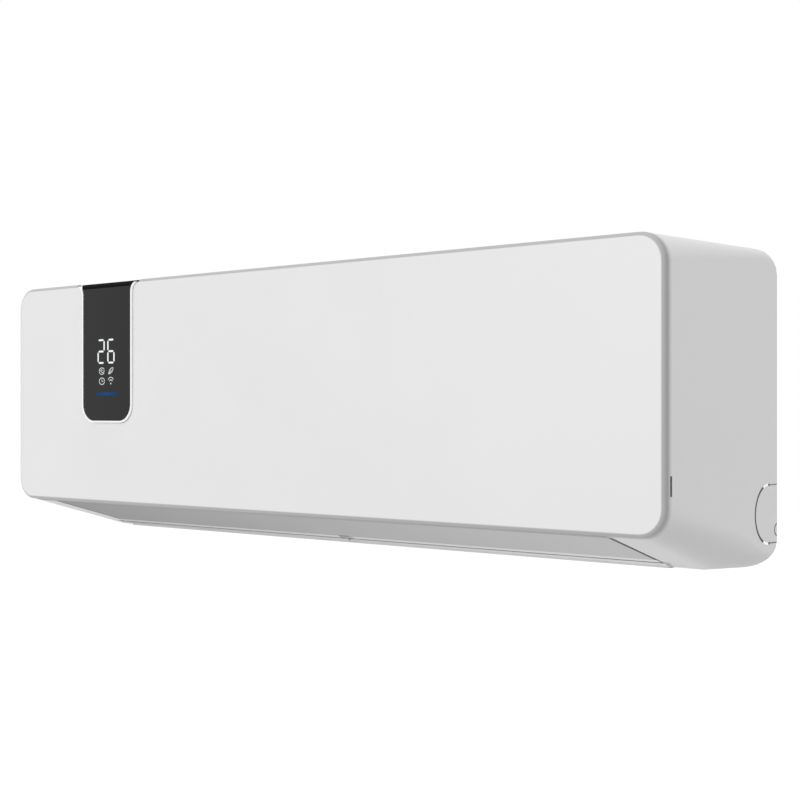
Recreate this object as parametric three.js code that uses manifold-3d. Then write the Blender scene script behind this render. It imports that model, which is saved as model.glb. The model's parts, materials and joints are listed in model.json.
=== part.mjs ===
// Wall-hung split air conditioner, indoor unit. Millimetres, +Z up, front of the unit towards -Y.
// Pieces are drawn with x along the unit, y as the depth behind the front face and z above the
// lowest line. The group at the end moves the wall mount to the origin.
import * as THREE from 'three';
import Module from 'manifold-3d';

const wasm = await Module();
wasm.setup();

// ---------- driving dimensions ----------
// Clearances and walls
const SEAT_GAP = 0.3; // between pieces that sit on each other
const RUN_GAP = 0.8; // between pieces that move past each other
const WELD = 5000; // corners closer than a part in this many of a millimetre are one
const WALL = 2.5; // moulded walls
const PAST = 1; // how far a cut runs past the face that it opens

// Whole unit
const WIDTH = 777; // over the casing and the front panel
const HALF = WIDTH / 2;
const HEIGHT = 253; // lowest line to the top
const DEPTH = 185; // front face to the wall
const CASING_REVEAL = 7; // casing's rear edge to the wall
const CASING_DEPTH = DEPTH - CASING_REVEAL;
const MOUNT_HEIGHT = 160; // centre of the wall plate above the lowest line

// Casing
const CASING_FRONT = 6.2; // front rim of the casing, behind the face
const CASING_INSIDE = CASING_FRONT + WALL; // back of its front wall
const CASING_EDGE = 2.4; // rounding of that rim
const CORNER_FRONT = 22; // corner radius at the front panel
const CORNER_RIDGE = 31; // lower corner radius at the ridge
const CORNER_LOW_REAR = 4; // and at the rear edge
const CORNER_TOP_REAR = 7; // upper corner radius at the rear edge
const SLOPE_HEIGHT = 31.5; // height of the sloped underside at its front
const SLOPE_FRONT = 8; // where the slope starts
const RIDGE_DEPTH = DEPTH - 70; // where the slope meets the flat bottom
const RIDGE_BLEND = [-6, 0, 6, 18]; // sections drawn before and behind the ridge
const REAR_BOTTOM = [30, 17.5]; // depth and height of the lower rear rounding
const REAR_TOP = [22, 13]; // depth and height of the upper rear rounding
const REAR_STEPS = [0.28, 0.5, 0.7, 0.85, 0.95]; // sections of that rounding

// Front panel
const PANEL_WALL = 2.6; // thickness of the front panel
const PANEL_RIM = 4.4; // depth of its rim
const PANEL_EDGE = 3.5; // rounding around its face
const PANEL_BOTTOM = 32.5; // its lower edge
const PANEL_LIP = WALL + 0.6; // wall around its pocket
const PANEL_PIVOT = [7.5, HEIGHT - 3.5]; // hinge line, depth and height
const PANEL_ARM_INSET = 82.5; // arms, in from the casing's sides
const PANEL_ARM_X = HALF - PANEL_ARM_INSET;
const PANEL_ARM_THICK = 3;
const PANEL_ARM_LONG = 22; // how far an arm reaches down the panel
const PANEL_ARM_SLOT = 27.5; // and how far its slot in the casing does
const PANEL_PIN_RADIUS = 1.1;
const PANEL_PIN_LENGTH = 12;
const HINGE_BOSS = 3.4; // thickness of a boss beside an arm
const HINGE_BOSS_LOW = 4.5; // foot and back of the boss, from the hinge line

// Display
const DISPLAY_INSET = 149.4; // middle of the display, in from the left side
const DISPLAY_X = DISPLAY_INSET - HALF;
const DISPLAY_WIDTH = 74; // dark glass
const DISPLAY_LONG = 137.9; // lower edge of the glass, below the top
const DISPLAY_BOTTOM = HEIGHT - DISPLAY_LONG;
const DISPLAY_CORNER = 16.6; // its lower corners
const RING_WIDTH = 2.3; // bright ring round the glass
const RING_PROUD = 1.6; // ring in front of the face
const RING_DEPTH = 2.2; // ring behind the face
const GLASS_PROUD = 0.7; // glass in front of the face
const GLASS_ROUND = 6.5; // rounding of the glass over the panel's top edge
const GLASS_BACK = 2; // back of the glass, behind the face
const RING_ROUND = 5; // and of the ring
const DISPLAY_FLARE = 12; // glass and ring widen so much towards the top edge
const HOUSING_WALL = 1.6; // box behind the glass, and its board
const HOUSING_BACK = 10; // its back, behind the face
const HOUSING_TOP = 12; // its top, below the unit's
const DISPLAY_BLOCKS = [ // lamp blocks on the board: sides, foot, top and front
  [-17, 14, 51, 85, 3], [-14, 10, 19, 47, 3.4],
];

// Outlet in the sloped underside
const OUTLET_SIDE = 50; // front corner of the outlet, in from the casing's side
const OUTLET_TAPER = 7; // its rear corner, in from the front one
const OUTLET_FRONT = 10.4; // depth of its edges
const OUTLET_REAR = RIDGE_DEPTH - 8.4;
const OUTLET_HALF_FRONT = HALF - OUTLET_SIDE; // and half its width at each
const OUTLET_HALF_REAR = OUTLET_HALF_FRONT - OUTLET_TAPER;
const PIVOT_NOTCH = OUTLET_HALF_REAR + 14.5; // half width of the opening at the flap pivots
const PIVOT_NOTCH_DEPTH = 11;
const LIP_DEPTH = 10; // lower lip behind the opening
const LIP_THICK = 3;

// Flap
const FLAP_THICK = 3.2;
const FLAP_BEAD = 1.2; // roll along its rear edge
const FLAP_PIVOT_DEPTH = OUTLET_REAR - 6.1;
const FLAP_PIVOT_RISE = 2.4; // pivot above the slope
const FLAP_BARREL = 3; // roll around the pivot
const FLAP_PIN_RADIUS = 1.5;
const FLAP_PIN_HOLD = 8; // length of a pin inside the flap
const FLAP_NOTCH = 16; // width of the middle notch
const FLAP_NOTCH_DEPTH = 7;
const FLAP_MOTOR_RADIUS = 11;
const FLAP_MOTOR_LONG = 14;
const FLAP_MOTOR_BOX = [-4.6, 5.2, 34]; // gearbox: front and back from the pivot, and its top
const FLAP_MOTOR_HEIGHT = 27;
const BRACKET_BACK = 3.2; // middle bracket, behind the opening

// Cross-flow fan
const FAN_AXIS = [DEPTH - 77, 90]; // depth and height
const FAN_RADIUS = 44;
const FAN_WHEEL_WALL = 12; // depth of the ring of blades
const FAN_BLADES = 20;
const FAN_BLADE_THICK = 1.3;
const FAN_BLADE_TWIST = 0.22; // radians
const FAN_DISCS = 4;
const FAN_DISC_THICK = 2.4;
const SHAFT_RADIUS = 4;
const SHAFT_HOLD = 12; // length of a shaft inside the fan
const BEARING_RADIUS = 9;
const BEARING_LONG = 9;
const SCROLL_RIGHT = OUTLET_HALF_REAR - 1.5; // fan housing, either end
const SCROLL_LEFT = -SCROLL_RIGHT;
const SCROLL_CURVE = [ // back of the air path, from the fan's axis
  [21, -77], [37, -64], [49, -40], [53.5, -8], [52, 22], [47, 44],
];
const SCROLL_LIP = [4.6, 8.2]; // its front edge, behind the outlet and above the lowest line
const FAN_LEFT = SCROLL_LEFT + 14;
const FAN_RIGHT = SCROLL_RIGHT - 74; // room for the motor and the pipes

// Heat exchanger
const COIL_LEFT = FAN_LEFT;
const COIL_RIGHT = FAN_RIGHT;
const COIL_THICK = 20;
const COIL_FRONT = 24; // front face of the upright section
const COIL_LOW = 72; // its lower end
const COIL_KNEE = 136; // knee between upright and sloped section
const COIL_UPRIGHT_TOP = 5; // upright section, below the knee
const COIL_LEAN_START = 8; // sloped section, above the knee
const COIL_APEX = [FAN_AXIS[0] - 11, HEIGHT + 3]; // where the sloped front faces would meet
const COIL_REAR_END = [DEPTH - 27, HEIGHT - 101]; // lower end of the rear section
const TUBE_SHEET = 1.5;
const BEND_RADIUS = 9; // return bends
const BEND_TUBE = 3.5;
const RETURN_BENDS = [ // section, and distance along it from its middle
  ['front_lower', -14], ['front_lower', 14], ['front_upper', -30], ['front_upper', 0], ['front_upper', 30],
  ['rear', -30], ['rear', -4],
];
const GAS_PORT = 18; // pipe ends on the rear section, from its middle
const LIQUID_PORT = 32;

// Rear chassis and wall plate
const BACK_WALL_BOTTOM = 72; // pipes run below it
const BACK_WALL_TOP = HEIGHT - 19;
const BACK_HALF = HALF - 16.5;
const BACK_FLANGE = 16; // depth of its top flange and skirts
const GUTTER_FLOOR = COIL_REAR_END[1] - 17; // drain gutter under the rear section
const GUTTER_FRONT = COIL_REAR_END[0] - 10.5;
const GUTTER_HIGH = 13;
const WEB_XS = [SCROLL_LEFT + 70, -90, 80, SCROLL_RIGHT - 80]; // webs between the air path and the back wall
const PLATE_THICK = 1.2; // steel wall plate
const PLATE_HALF = HALF - 58.5;
const PLATE_BOTTOM = 80;
const PLATE_TOP = HEIGHT - 13;
const PLATE_WINDOW = [155, 45, 128, 172]; // middle, half width, foot and top of its windows
const PLATE_SLOT_XS = [-260, -90, 70, 240]; // left ends of its screw slots
const PLATE_SLOT = [40, 8]; // their length and height
const PLATE_SLOT_LOW = 20; // their rows, from the plate's edges
const PLATE_SLOT_HIGH = 24;
const HOOK_X = 150;
const HOOK_WIDTH = 24;
const HOOK_THICK = 1.5;
const HOOK_TALL = 7;
const HOOK_HEIGHT = BACK_WALL_TOP - 12;
const CLIP_X = 200; // lower clips
const CLIP_WIDTH = 20;

// Dust filters and inlet grille
const FILTER_DEPTH = 11.5; // front of the dust filters
const FILTER_THICK = 2.2;
const FILTER_OUTER = PANEL_ARM_X - 10;
const FILTER_INNER = 3;
const FILTER_SLOT = 0.5; // between a filter and its slot in the casing
const FILTER_BOTTOM = 62;
const FILTER_RIM = 7;
const FILTER_COLUMNS = 8;
const FILTER_ROWS = 5;
const FILTER_STRAND = 1.6;
const GUIDE_RAIL = 4; // side rails of the filter guide
const GUIDE_THICK = 2.4;
const GUIDE_BAR = 8;
const GUIDE_MIDDLE = 3; // half its middle bar
const GUIDE_COLUMNS = 6;
const GRILLE_HALF = FILTER_OUTER;
const GRILLE_FRONT = 20;
const GRILLE_REAR = CASING_DEPTH - 30;
const GRILLE_PITCH = 18;
const GRILLE_BAR = 4.5;

// Vertical vanes
const VANE_COUNT = 5; // in each gang
const VANE_FIRST = 58;
const VANE_LAST = OUTLET_HALF_REAR - 49.5;
const VANE_PITCH = (VANE_LAST - VANE_FIRST) / (VANE_COUNT - 1);
const VANE_THICK = 1.4;
const VANE_FRONT = 30; // depths of its corners
const VANE_STEP = 44;
const VANE_HEEL = 60;
const VANE_REAR = 62;
const VANE_PIVOT = 50; // depth of the vane pivots
const VANE_PIVOT_RADIUS = 1.5;
const VANE_PIN_DEPTH = 36; // depth of the link pins
const VANE_PIN_RADIUS = 1.1;
const VANE_BOSS = 4; // radius of a boss on the duct's roof
const VANE_TOP_GAP = 2;
const LINK_HEIGHT = 29.6;
const LINK_THICK = 2;
const DUCT_RISE = 0.373; // rise of the duct's roof with depth
const DUCT_FRONT = SLOPE_HEIGHT + 4; // height of its front end
const CHEEK = 3; // duct's side walls
const CHEEK_REAR = OUTLET_REAR - 2.1;

// Right-hand end
const BOX_RIGHT = HALF - 20.5; // electrical box
const BOX_LEFT = BOX_RIGHT - 84;
const BOX_FRONT = 26;
const BOX_REAR = FAN_AXIS[0] + 10;
const BOX_BOTTOM = FAN_AXIS[1] + 48;
const BOX_TOP = HEIGHT - 17;
const BOX_COVER = 2; // thickness of its cover, and of the cover's rim
const BOX_RIM = [4, 1.5]; // height and thickness of the rim
const BOARD_THICK = 1.6;
const TERMINALS = 4;
const TERMINAL_PITCH = 8;
const TERMINAL_SIZE = [36, 24, 20]; // width, depth and height
const TERMINAL_SLOT = [5, 10, 10];
const TERMINAL_FRONT = 60;
const MOTOR_RADIUS = FAN_RADIUS - 7;
const MOTOR_LEFT = COIL_RIGHT + 16;
const MOTOR_LONG = 48;
const MOTOR_NOSE = 6; // its nose, towards the fan
const MOTOR_NOSE_RADIUS = 14;
const MOTOR_BORE = 20; // depth of the bore for its shaft
const MOTOR_RIGHT = MOTOR_LEFT + MOTOR_LONG;
const CLAMP_LEFT = MOTOR_LEFT + 18; // band over the motor
const CLAMP_WIDTH = 12;
const CLAMP_THICK = 2;
const CLAMP_FOOT = 8;
const CRADLE_XS = [MOTOR_LEFT + 6, MOTOR_LEFT + 37]; // ribs under the motor
const CRADLE_RIB = 5;
const BUTTON_X = HALF - 36.5;
const BUTTON_Z = PANEL_BOTTOM + 15.5;
const BUTTON_RADIUS = 4;
const BUTTON_FLANGE = 1.6;
const BUTTON_TRAVEL = 1.5;
const SWITCH_HALF = 7;
const SCREW_X = OUTLET_HALF_REAR - 9.5;
const SCREW_Z = PANEL_BOTTOM + 14.5;
const SCREW_RADIUS = 1.6;
const SCREW_HEAD = [3.4, 1.2]; // radius and height
const SCREW_LONG = 6.6; // behind the casing's front wall

// Knock-out covers and the slots in the sides
const KNOCKOUT_RADIUS = 23.6;
const KNOCKOUT_CENTRE = [CASING_DEPTH - 14.6, 42.4];
const KNOCKOUT_GAP = 0.8;
const KNOCKOUT_REACH = 40; // how deep its cut goes into the side
const MARK_RADIUS = 4.4; // half-round mark on the cover
const MARK_WIDTH = 0.8;
const MARK_DEEP = 1.6;
const MARK_DROP = 13.2; // below the cover's middle
const SIDE_SLOT = [9, 63, 1.2, 14.7]; // depth, height, width and length of the side slot

// Refrigerant pipes
const GAS_PIPE_RADIUS = 6.35;
const LIQUID_PIPE_RADIUS = 3.2;
const PIPE_RUN_DEPTH = DEPTH - 12;
const PIPE_SIDES = 8;
const PIPE_TENSION = 0.35;
const PIPE_MIDDLE_X = 110;
const GAS_RUN_HEIGHT = 59;
const LIQUID_RUN_HEIGHT = 40;
const GAS_DROP_X = COIL_RIGHT + 30;
const LIQUID_DROP_X = GAS_DROP_X + 18;
const GAS_END_X = -20;
const LIQUID_END_X = -60;
const GAS_NUT = 19; // across the corners
const LIQUID_NUT = 16;
const NUT_LONG = [16, 8]; // length beyond the pipe's end, and over it

const PIVOT_Z = slopeZ(FLAP_PIVOT_DEPTH) + FLAP_PIVOT_RISE;

// ---------- finishes ----------
const FINISH = {
  white: [0xececec, 0.42, 0],
  greyWhite: [0xd9dadb, 0.5, 0],
  glass: [0x151617, 0.12, 0],
  dark: [0x2a2b2d, 0.6, 0],
  fin: [0xb9c3c9, 0.35, 0.9],
  copper: [0xb4693c, 0.3, 1],
  steel: [0xb8babd, 0.4, 1],
  brass: [0xb79a54, 0.35, 1],
  board: [0x1f5a34, 0.6, 0],
  rubber: [0x222222, 0.85, 0],
  blue: [0x6f8fb0, 0.6, 0],
};

// ---------- helpers ----------
function slopeZ(y) {
  return SLOPE_HEIGHT * (RIDGE_DEPTH - y) / (RIDGE_DEPTH - SLOPE_FRONT);
}

function toSolid(geometry) {
  const position = geometry.attributes.position;
  const corner = geometry.index ? (i) => geometry.index.getX(i) : (i) => i;
  const total = geometry.index ? geometry.index.count : position.count;
  const known = new Map();
  const vertProperties = [];
  const triVerts = [];
  for (let i = 0; i < total; i += 1) {
    const point = [position.getX(corner(i)), position.getY(corner(i)), position.getZ(corner(i))];
    const key = point.map((value) => Math.round(value * WELD)).join();
    if (!known.has(key)) {
      known.set(key, vertProperties.length / 3);
      vertProperties.push(...point);
    }
    triVerts.push(known.get(key));
  }
  const faces = [];
  for (let i = 0; i < triVerts.length; i += 3) {
    const [a, b, c] = triVerts.slice(i, i + 3);
    if (a !== b && b !== c && c !== a) faces.push(a, b, c);
  }
  return new wasm.Manifold(new wasm.Mesh({
    numProp: 3, vertProperties: new Float32Array(vertProperties), triVerts: new Uint32Array(faces),
  }));
}

function toGeometry(solid) {
  const mesh = solid.getMesh();
  const geometry = new THREE.BufferGeometry();
  geometry.setAttribute('position', new THREE.BufferAttribute(new Float32Array(mesh.vertProperties), 3));
  geometry.setIndex(new THREE.BufferAttribute(new Uint32Array(mesh.triVerts), 1));
  geometry.computeVertexNormals();
  return geometry;
}

function union(solids) {
  return solids.reduce((all, one) => all.add(one));
}

function cutAll(solid, tools) {
  return tools.reduce((rest, tool) => rest.subtract(tool), solid);
}

function sorted(a, b) {
  return [Math.min(a, b), Math.max(a, b)];
}

function box(x0, x1, y0, y1, z0, z1) {
  const geometry = new THREE.BoxGeometry(x1 - x0, y1 - y0, z1 - z0);
  geometry.translate((x0 + x1) / 2, (y0 + y1) / 2, (z0 + z1) / 2);
  return toSolid(geometry);
}

function outline(points) {
  return new THREE.Shape(points.map(([u, v]) => new THREE.Vector2(u, v)));
}

// An outline in depth and height, drawn out along the unit from x0 to x1.
function prismX(shape, x0, x1, curveSegments = 12) {
  const geometry = new THREE.ExtrudeGeometry(shape, { depth: x1 - x0, bevelEnabled: false, curveSegments });
  const toUnit = new THREE.Matrix4().makeBasis(
    new THREE.Vector3(0, 1, 0), new THREE.Vector3(0, 0, 1), new THREE.Vector3(1, 0, 0));
  geometry.applyMatrix4(toUnit);
  geometry.translate(x0, 0, 0);
  return toSolid(geometry);
}

// An outline in width and height, drawn out in depth from y0 to y1.
function prismY(shape, y0, y1, curveSegments = 12) {
  const geometry = new THREE.ExtrudeGeometry(shape, { depth: y1 - y0, bevelEnabled: false, curveSegments });
  geometry.rotateX(Math.PI / 2);
  geometry.translate(0, y1, 0);
  return toSolid(geometry);
}

// An outline in width and depth, drawn up from z0 to z1.
function prismZ(shape, z0, z1, curveSegments = 12) {
  const geometry = new THREE.ExtrudeGeometry(shape, { depth: z1 - z0, bevelEnabled: false, curveSegments });
  geometry.translate(0, 0, z0);
  return toSolid(geometry);
}

// A flat plate drawn with one of the prism functions, with holes right through it.
function pierced(draw, shape, holes, from, to) {
  return cutAll(draw(shape, from, to), holes.map((hole) => draw(outline(hole), from - 1, to + 1)));
}

function rodX(radius, x0, x1, [y, z], sides = 20) {
  const geometry = new THREE.CylinderGeometry(radius, radius, x1 - x0, sides);
  geometry.rotateZ(Math.PI / 2);
  geometry.translate((x0 + x1) / 2, y, z);
  return toSolid(geometry);
}

function rodY(radius, y0, y1, [x, z], sides = 20) {
  const geometry = new THREE.CylinderGeometry(radius, radius, y1 - y0, sides);
  geometry.translate(x, (y0 + y1) / 2, z);
  return toSolid(geometry);
}

function rodZ(radius, z0, z1, [x, y], sides = 16) {
  const geometry = new THREE.CylinderGeometry(radius, radius, z1 - z0, sides);
  geometry.rotateX(Math.PI / 2);
  geometry.translate(x, y, (z0 + z1) / 2);
  return toSolid(geometry);
}

// Joins rings of equal point counts into one closed solid with flat ends.
function loft(rings) {
  const count = rings[0].length;
  const positions = rings.flat(2);
  const indices = [];
  for (let r = 0; r + 1 < rings.length; r += 1) {
    for (let i = 0; i < count; i += 1) {
      const j = (i + 1) % count;
      const [a, b, c, d] = [r * count + i, r * count + j, (r + 1) * count + j, (r + 1) * count + i];
      indices.push(a, b, c, a, c, d);
    }
  }
  const flat = rings[0].map(([x, , z]) => new THREE.Vector2(x, z));
  const turn = THREE.ShapeUtils.area(flat);
  const last = (rings.length - 1) * count;
  for (const face of THREE.ShapeUtils.triangulateShape(flat, [])) {
    const same = THREE.ShapeUtils.area(face.map((i) => flat[i])) * turn > 0;
    const [a, b, c] = same ? face : [face[0], face[2], face[1]];
    indices.push(c, b, a, last + a, last + b, last + c);
  }
  const geometry = new THREE.BufferGeometry();
  geometry.setAttribute('position', new THREE.BufferAttribute(new Float32Array(positions), 3));
  geometry.setIndex(indices);
  return toSolid(geometry);
}

// A rectangle across the unit at one depth, with round corners.
function frontRing(y, half, z0, z1, lowRadius, highRadius, steps = 6) {
  const corners = [
    [half - highRadius, z1 - highRadius, highRadius, 0],
    [-half + highRadius, z1 - highRadius, highRadius, 1],
    [-half + lowRadius, z0 + lowRadius, lowRadius, 2],
    [half - lowRadius, z0 + lowRadius, lowRadius, 3],
  ];
  const points = [];
  for (const [cx, cz, radius, quarter] of corners) {
    for (let i = 0; i <= steps; i += 1) {
      const angle = (quarter + i / steps) * Math.PI / 2;
      points.push([cx + radius * Math.cos(angle), y, cz + radius * Math.sin(angle)]);
    }
  }
  return points.reverse();
}

function ellipseDrop(distance, [long, high]) {
  const share = Math.min(Math.max(distance / long, 0), 1);
  return high * (1 - Math.sqrt(1 - share * share));
}

function casingRing(y, inset) {
  const alongSlope = THREE.MathUtils.clamp((y - SLOPE_FRONT) / (RIDGE_DEPTH - SLOPE_FRONT), 0, 1);
  const alongTop = THREE.MathUtils.clamp((y - SLOPE_FRONT) / (CASING_DEPTH - SLOPE_FRONT), 0, 1);
  const floor = y < RIDGE_DEPTH ? slopeZ(Math.max(y, SLOPE_FRONT)) : 0;
  const low = floor + ellipseDrop(y - CASING_DEPTH + REAR_BOTTOM[0], REAR_BOTTOM) + inset;
  const high = HEIGHT - ellipseDrop(y - CASING_DEPTH + REAR_TOP[0], REAR_TOP) - inset;
  const alongBottom = THREE.MathUtils.clamp((y - RIDGE_DEPTH) / (CASING_DEPTH - RIDGE_DEPTH), 0, 1);
  const ahead = THREE.MathUtils.lerp(CORNER_FRONT, CORNER_RIDGE, alongSlope);
  const lowRadius = Math.max(THREE.MathUtils.lerp(ahead, CORNER_LOW_REAR, alongBottom) - inset, 1);
  const highRadius = THREE.MathUtils.lerp(CORNER_FRONT, CORNER_TOP_REAR, alongTop) - inset;
  return frontRing(y, HALF - inset, low, high, lowRadius, highRadius);
}

function depthSteps(from, to, count) {
  return Array.from({ length: count + 1 }, (_, i) => from + (to - from) * i / count);
}

function knockoutShape(radius) {
  const [y, z] = KNOCKOUT_CENTRE;
  const shape = new THREE.Shape();
  shape.moveTo(CASING_DEPTH + 2, z - radius);
  shape.lineTo(CASING_DEPTH + 2, z + radius);
  shape.lineTo(y, z + radius);
  shape.absarc(y, z, radius, Math.PI / 2, Math.PI * 1.5, false);
  return shape;
}

function outletShape(gap) {
  const notchFront = OUTLET_REAR - PIVOT_NOTCH_DEPTH;
  const slant = (OUTLET_HALF_FRONT - OUTLET_HALF_REAR) / (OUTLET_REAR - OUTLET_FRONT);
  const half = (y) => OUTLET_HALF_FRONT - (y - OUTLET_FRONT) * slant - gap;
  if (gap > 0) {
    const [y0, y1] = [OUTLET_FRONT + gap, OUTLET_REAR + LIP_DEPTH];
    return outline([[-half(y0), y0], [half(y0), y0], [half(y1), y1], [-half(y1), y1]]);
  }
  return outline([
    [-half(OUTLET_FRONT), OUTLET_FRONT], [half(OUTLET_FRONT), OUTLET_FRONT],
    [half(notchFront), notchFront], [PIVOT_NOTCH, notchFront], [PIVOT_NOTCH, OUTLET_REAR],
    [-PIVOT_NOTCH, OUTLET_REAR], [-PIVOT_NOTCH, notchFront], [-half(notchFront), notchFront],
  ]);
}

const pieces = [];

function addPiece(name, solid, finish) {
  const [color, roughness, metalness] = FINISH[finish];
  const material = new THREE.MeshStandardMaterial({ color, roughness, metalness });
  const mesh = new THREE.Mesh(toGeometry(solid), material);
  mesh.name = name;
  pieces.push(mesh);
}

// ---------- casing ----------
function casingShell() {
  const rounding = [0, 0.3, 0.65, 1].map((share) => {
    const angle = share * Math.PI / 2;
    const y = CASING_FRONT + CASING_EDGE * (1 - Math.cos(angle));
    return casingRing(y, CASING_EDGE * (1 - Math.sin(angle)));
  });
  const rearStart = CASING_DEPTH - REAR_BOTTOM[0];
  const middle = RIDGE_BLEND.map((offset) => casingRing(RIDGE_DEPTH + offset, 0));
  const rear = [0, ...REAR_STEPS, 1].map((share) => casingRing(rearStart + REAR_BOTTOM[0] * share, 0));
  const outer = loft([...rounding, ...middle, ...rear]);
  const innerMiddle = [CASING_INSIDE, RIDGE_DEPTH, rearStart].map((y) => casingRing(y, WALL));
  const innerRear = REAR_STEPS.map((share) => casingRing(rearStart + REAR_BOTTOM[0] * share, WALL));
  const mouth = casingRing(CASING_DEPTH - 0.01, WALL);
  const beyond = mouth.map(([x, , z]) => [x, CASING_DEPTH + 4, z]);
  return outer.subtract(loft([...innerMiddle, ...innerRear, mouth, beyond]));
}

function hingeBosses() {
  const [y, z] = PANEL_PIVOT;
  const solids = [];
  for (const side of [-1, 1]) {
    for (const offset of [-1, 1]) {
      const near = PANEL_ARM_THICK / 2 + RUN_GAP;
      const far = near + HINGE_BOSS;
      const [x0, x1] = sorted(side * PANEL_ARM_X + offset * near, side * PANEL_ARM_X + offset * far);
      solids.push(box(x0, x1, y - 0.8, y + HINGE_BOSS_LOW, z - HINGE_BOSS_LOW, HEIGHT - WALL + 0.5));
    }
  }
  return solids;
}

function frontCasing(shell) {
  const [pivotY, pivotZ] = PANEL_PIVOT;
  const lip = box(-OUTLET_HALF_REAR, OUTLET_HALF_REAR, OUTLET_REAR, OUTLET_REAR + LIP_DEPTH, 0, LIP_THICK);
  const tools = [
    prismZ(outletShape(0), -5, SLOPE_HEIGHT + 12),
    box(-HALF + 18, HALF - 18, CASING_FRONT - 1, CASING_INSIDE + 0.5, FILTER_BOTTOM, HEIGHT - 10),
    box(-GRILLE_HALF - SEAT_GAP, GRILLE_HALF + SEAT_GAP, GRILLE_FRONT - SEAT_GAP, GRILLE_REAR + SEAT_GAP,
      HEIGHT - WALL - 2, HEIGHT + 2),
    rodY(BUTTON_RADIUS + SEAT_GAP, CASING_FRONT - PAST, CASING_INSIDE + PAST, [BUTTON_X, BUTTON_Z]),
  ];
  const [slotY, slotZ, slotWide, slotLong] = SIDE_SLOT;
  for (const side of [-1, 1]) {
    const arm = side * PANEL_ARM_X;
    const slot = PANEL_ARM_THICK / 2 + RUN_GAP;
    tools.push(box(arm - slot, arm + slot, CASING_FRONT - PAST, pivotY + 5,
      pivotZ - PANEL_ARM_SLOT, HEIGHT + PAST));
    tools.push(rodX(PANEL_PIN_RADIUS + SEAT_GAP, arm - 8, arm + 8, [pivotY, pivotZ], 12));
    const [inner, outer] = sorted(side * (FILTER_INNER - 1), side * (FILTER_OUTER + 1));
    tools.push(box(inner, outer, FILTER_DEPTH - FILTER_SLOT, FILTER_DEPTH + FILTER_THICK + FILTER_SLOT,
      HEIGHT - 8, HEIGHT + PAST));
    tools.push(prismX(knockoutShape(KNOCKOUT_RADIUS), ...sideWall(side)));
    tools.push(box(side * HALF - 4, side * HALF + 4, slotY, slotY + slotWide, slotZ, slotZ + slotLong));
    const screw = [side * SCREW_X, SCREW_Z];
    tools.push(rodY(SCREW_RADIUS + SEAT_GAP, CASING_FRONT - PAST, CASING_INSIDE + PAST, screw, 12));
  }
  return cutAll(union([shell, lip, ...hingeBosses()]), tools);
}

// Across one side wall of the casing, from well inside to just outside.
function sideWall(side) {
  return sorted(side * (HALF - KNOCKOUT_REACH), side * (HALF + PAST));
}

function pipeCover(shell, side) {
  const cover = shell.intersect(prismX(knockoutShape(KNOCKOUT_RADIUS - KNOCKOUT_GAP), ...sideWall(side)));
  const groove = sorted(side * (HALF - MARK_DEEP), side * (HALF + 2 * PAST));
  const middle = [CASING_DEPTH, KNOCKOUT_CENTRE[1] - MARK_DROP];
  const ring = rodX(MARK_RADIUS + MARK_WIDTH / 2, ...groove, middle, 24)
    .subtract(rodX(MARK_RADIUS - MARK_WIDTH / 2, ...groove, middle, 24));
  return cover.subtract(ring);
}

// ---------- inlet grille and filters ----------
function topGrille() {
  const shape = outline([
    [-GRILLE_HALF, GRILLE_FRONT], [GRILLE_HALF, GRILLE_FRONT],
    [GRILLE_HALF, GRILLE_REAR], [-GRILLE_HALF, GRILLE_REAR],
  ]);
  const holes = [];
  const columns = Math.floor((2 * GRILLE_HALF - GRILLE_BAR * 2) / GRILLE_PITCH);
  const start = -columns * GRILLE_PITCH / 2;
  const middle = (GRILLE_FRONT + GRILLE_REAR) / 2;
  const rows = [
    [GRILLE_FRONT + GRILLE_BAR, middle - GRILLE_BAR / 2],
    [middle + GRILLE_BAR / 2, GRILLE_REAR - GRILLE_BAR],
  ];
  for (const [y0, y1] of rows) {
    for (let i = 0; i < columns; i += 1) {
      const x0 = start + i * GRILLE_PITCH + GRILLE_BAR / 2;
      const x1 = x0 + GRILLE_PITCH - GRILLE_BAR;
      holes.push([[x0, y0], [x0, y1], [x1, y1], [x1, y0]]);
    }
  }
  return pierced(prismZ, shape, holes, HEIGHT - WALL, HEIGHT);
}

function dustFilter(side) {
  const [x0, x1] = side > 0 ? [FILTER_INNER, FILTER_OUTER] : [-FILTER_OUTER, -FILTER_INNER];
  const top = HEIGHT - 1;
  const shape = outline([[x0, FILTER_BOTTOM], [x1, FILTER_BOTTOM], [x1, top], [x0, top]]);
  const holes = [];
  const cellWide = (x1 - x0 - 2 * FILTER_RIM + FILTER_STRAND) / FILTER_COLUMNS;
  const cellHigh = (top - FILTER_BOTTOM - 2 * FILTER_RIM + FILTER_STRAND) / FILTER_ROWS;
  for (let i = 0; i < FILTER_COLUMNS; i += 1) {
    for (let k = 0; k < FILTER_ROWS; k += 1) {
      const a = x0 + FILTER_RIM + i * cellWide;
      const b = FILTER_BOTTOM + FILTER_RIM + k * cellHigh;
      const [c, d] = [a + cellWide - FILTER_STRAND, b + cellHigh - FILTER_STRAND];
      holes.push([[a, b], [a, d], [c, d], [c, b]]);
    }
  }
  return pierced(prismY, shape, holes, FILTER_DEPTH, FILTER_DEPTH + FILTER_THICK);
}

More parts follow.
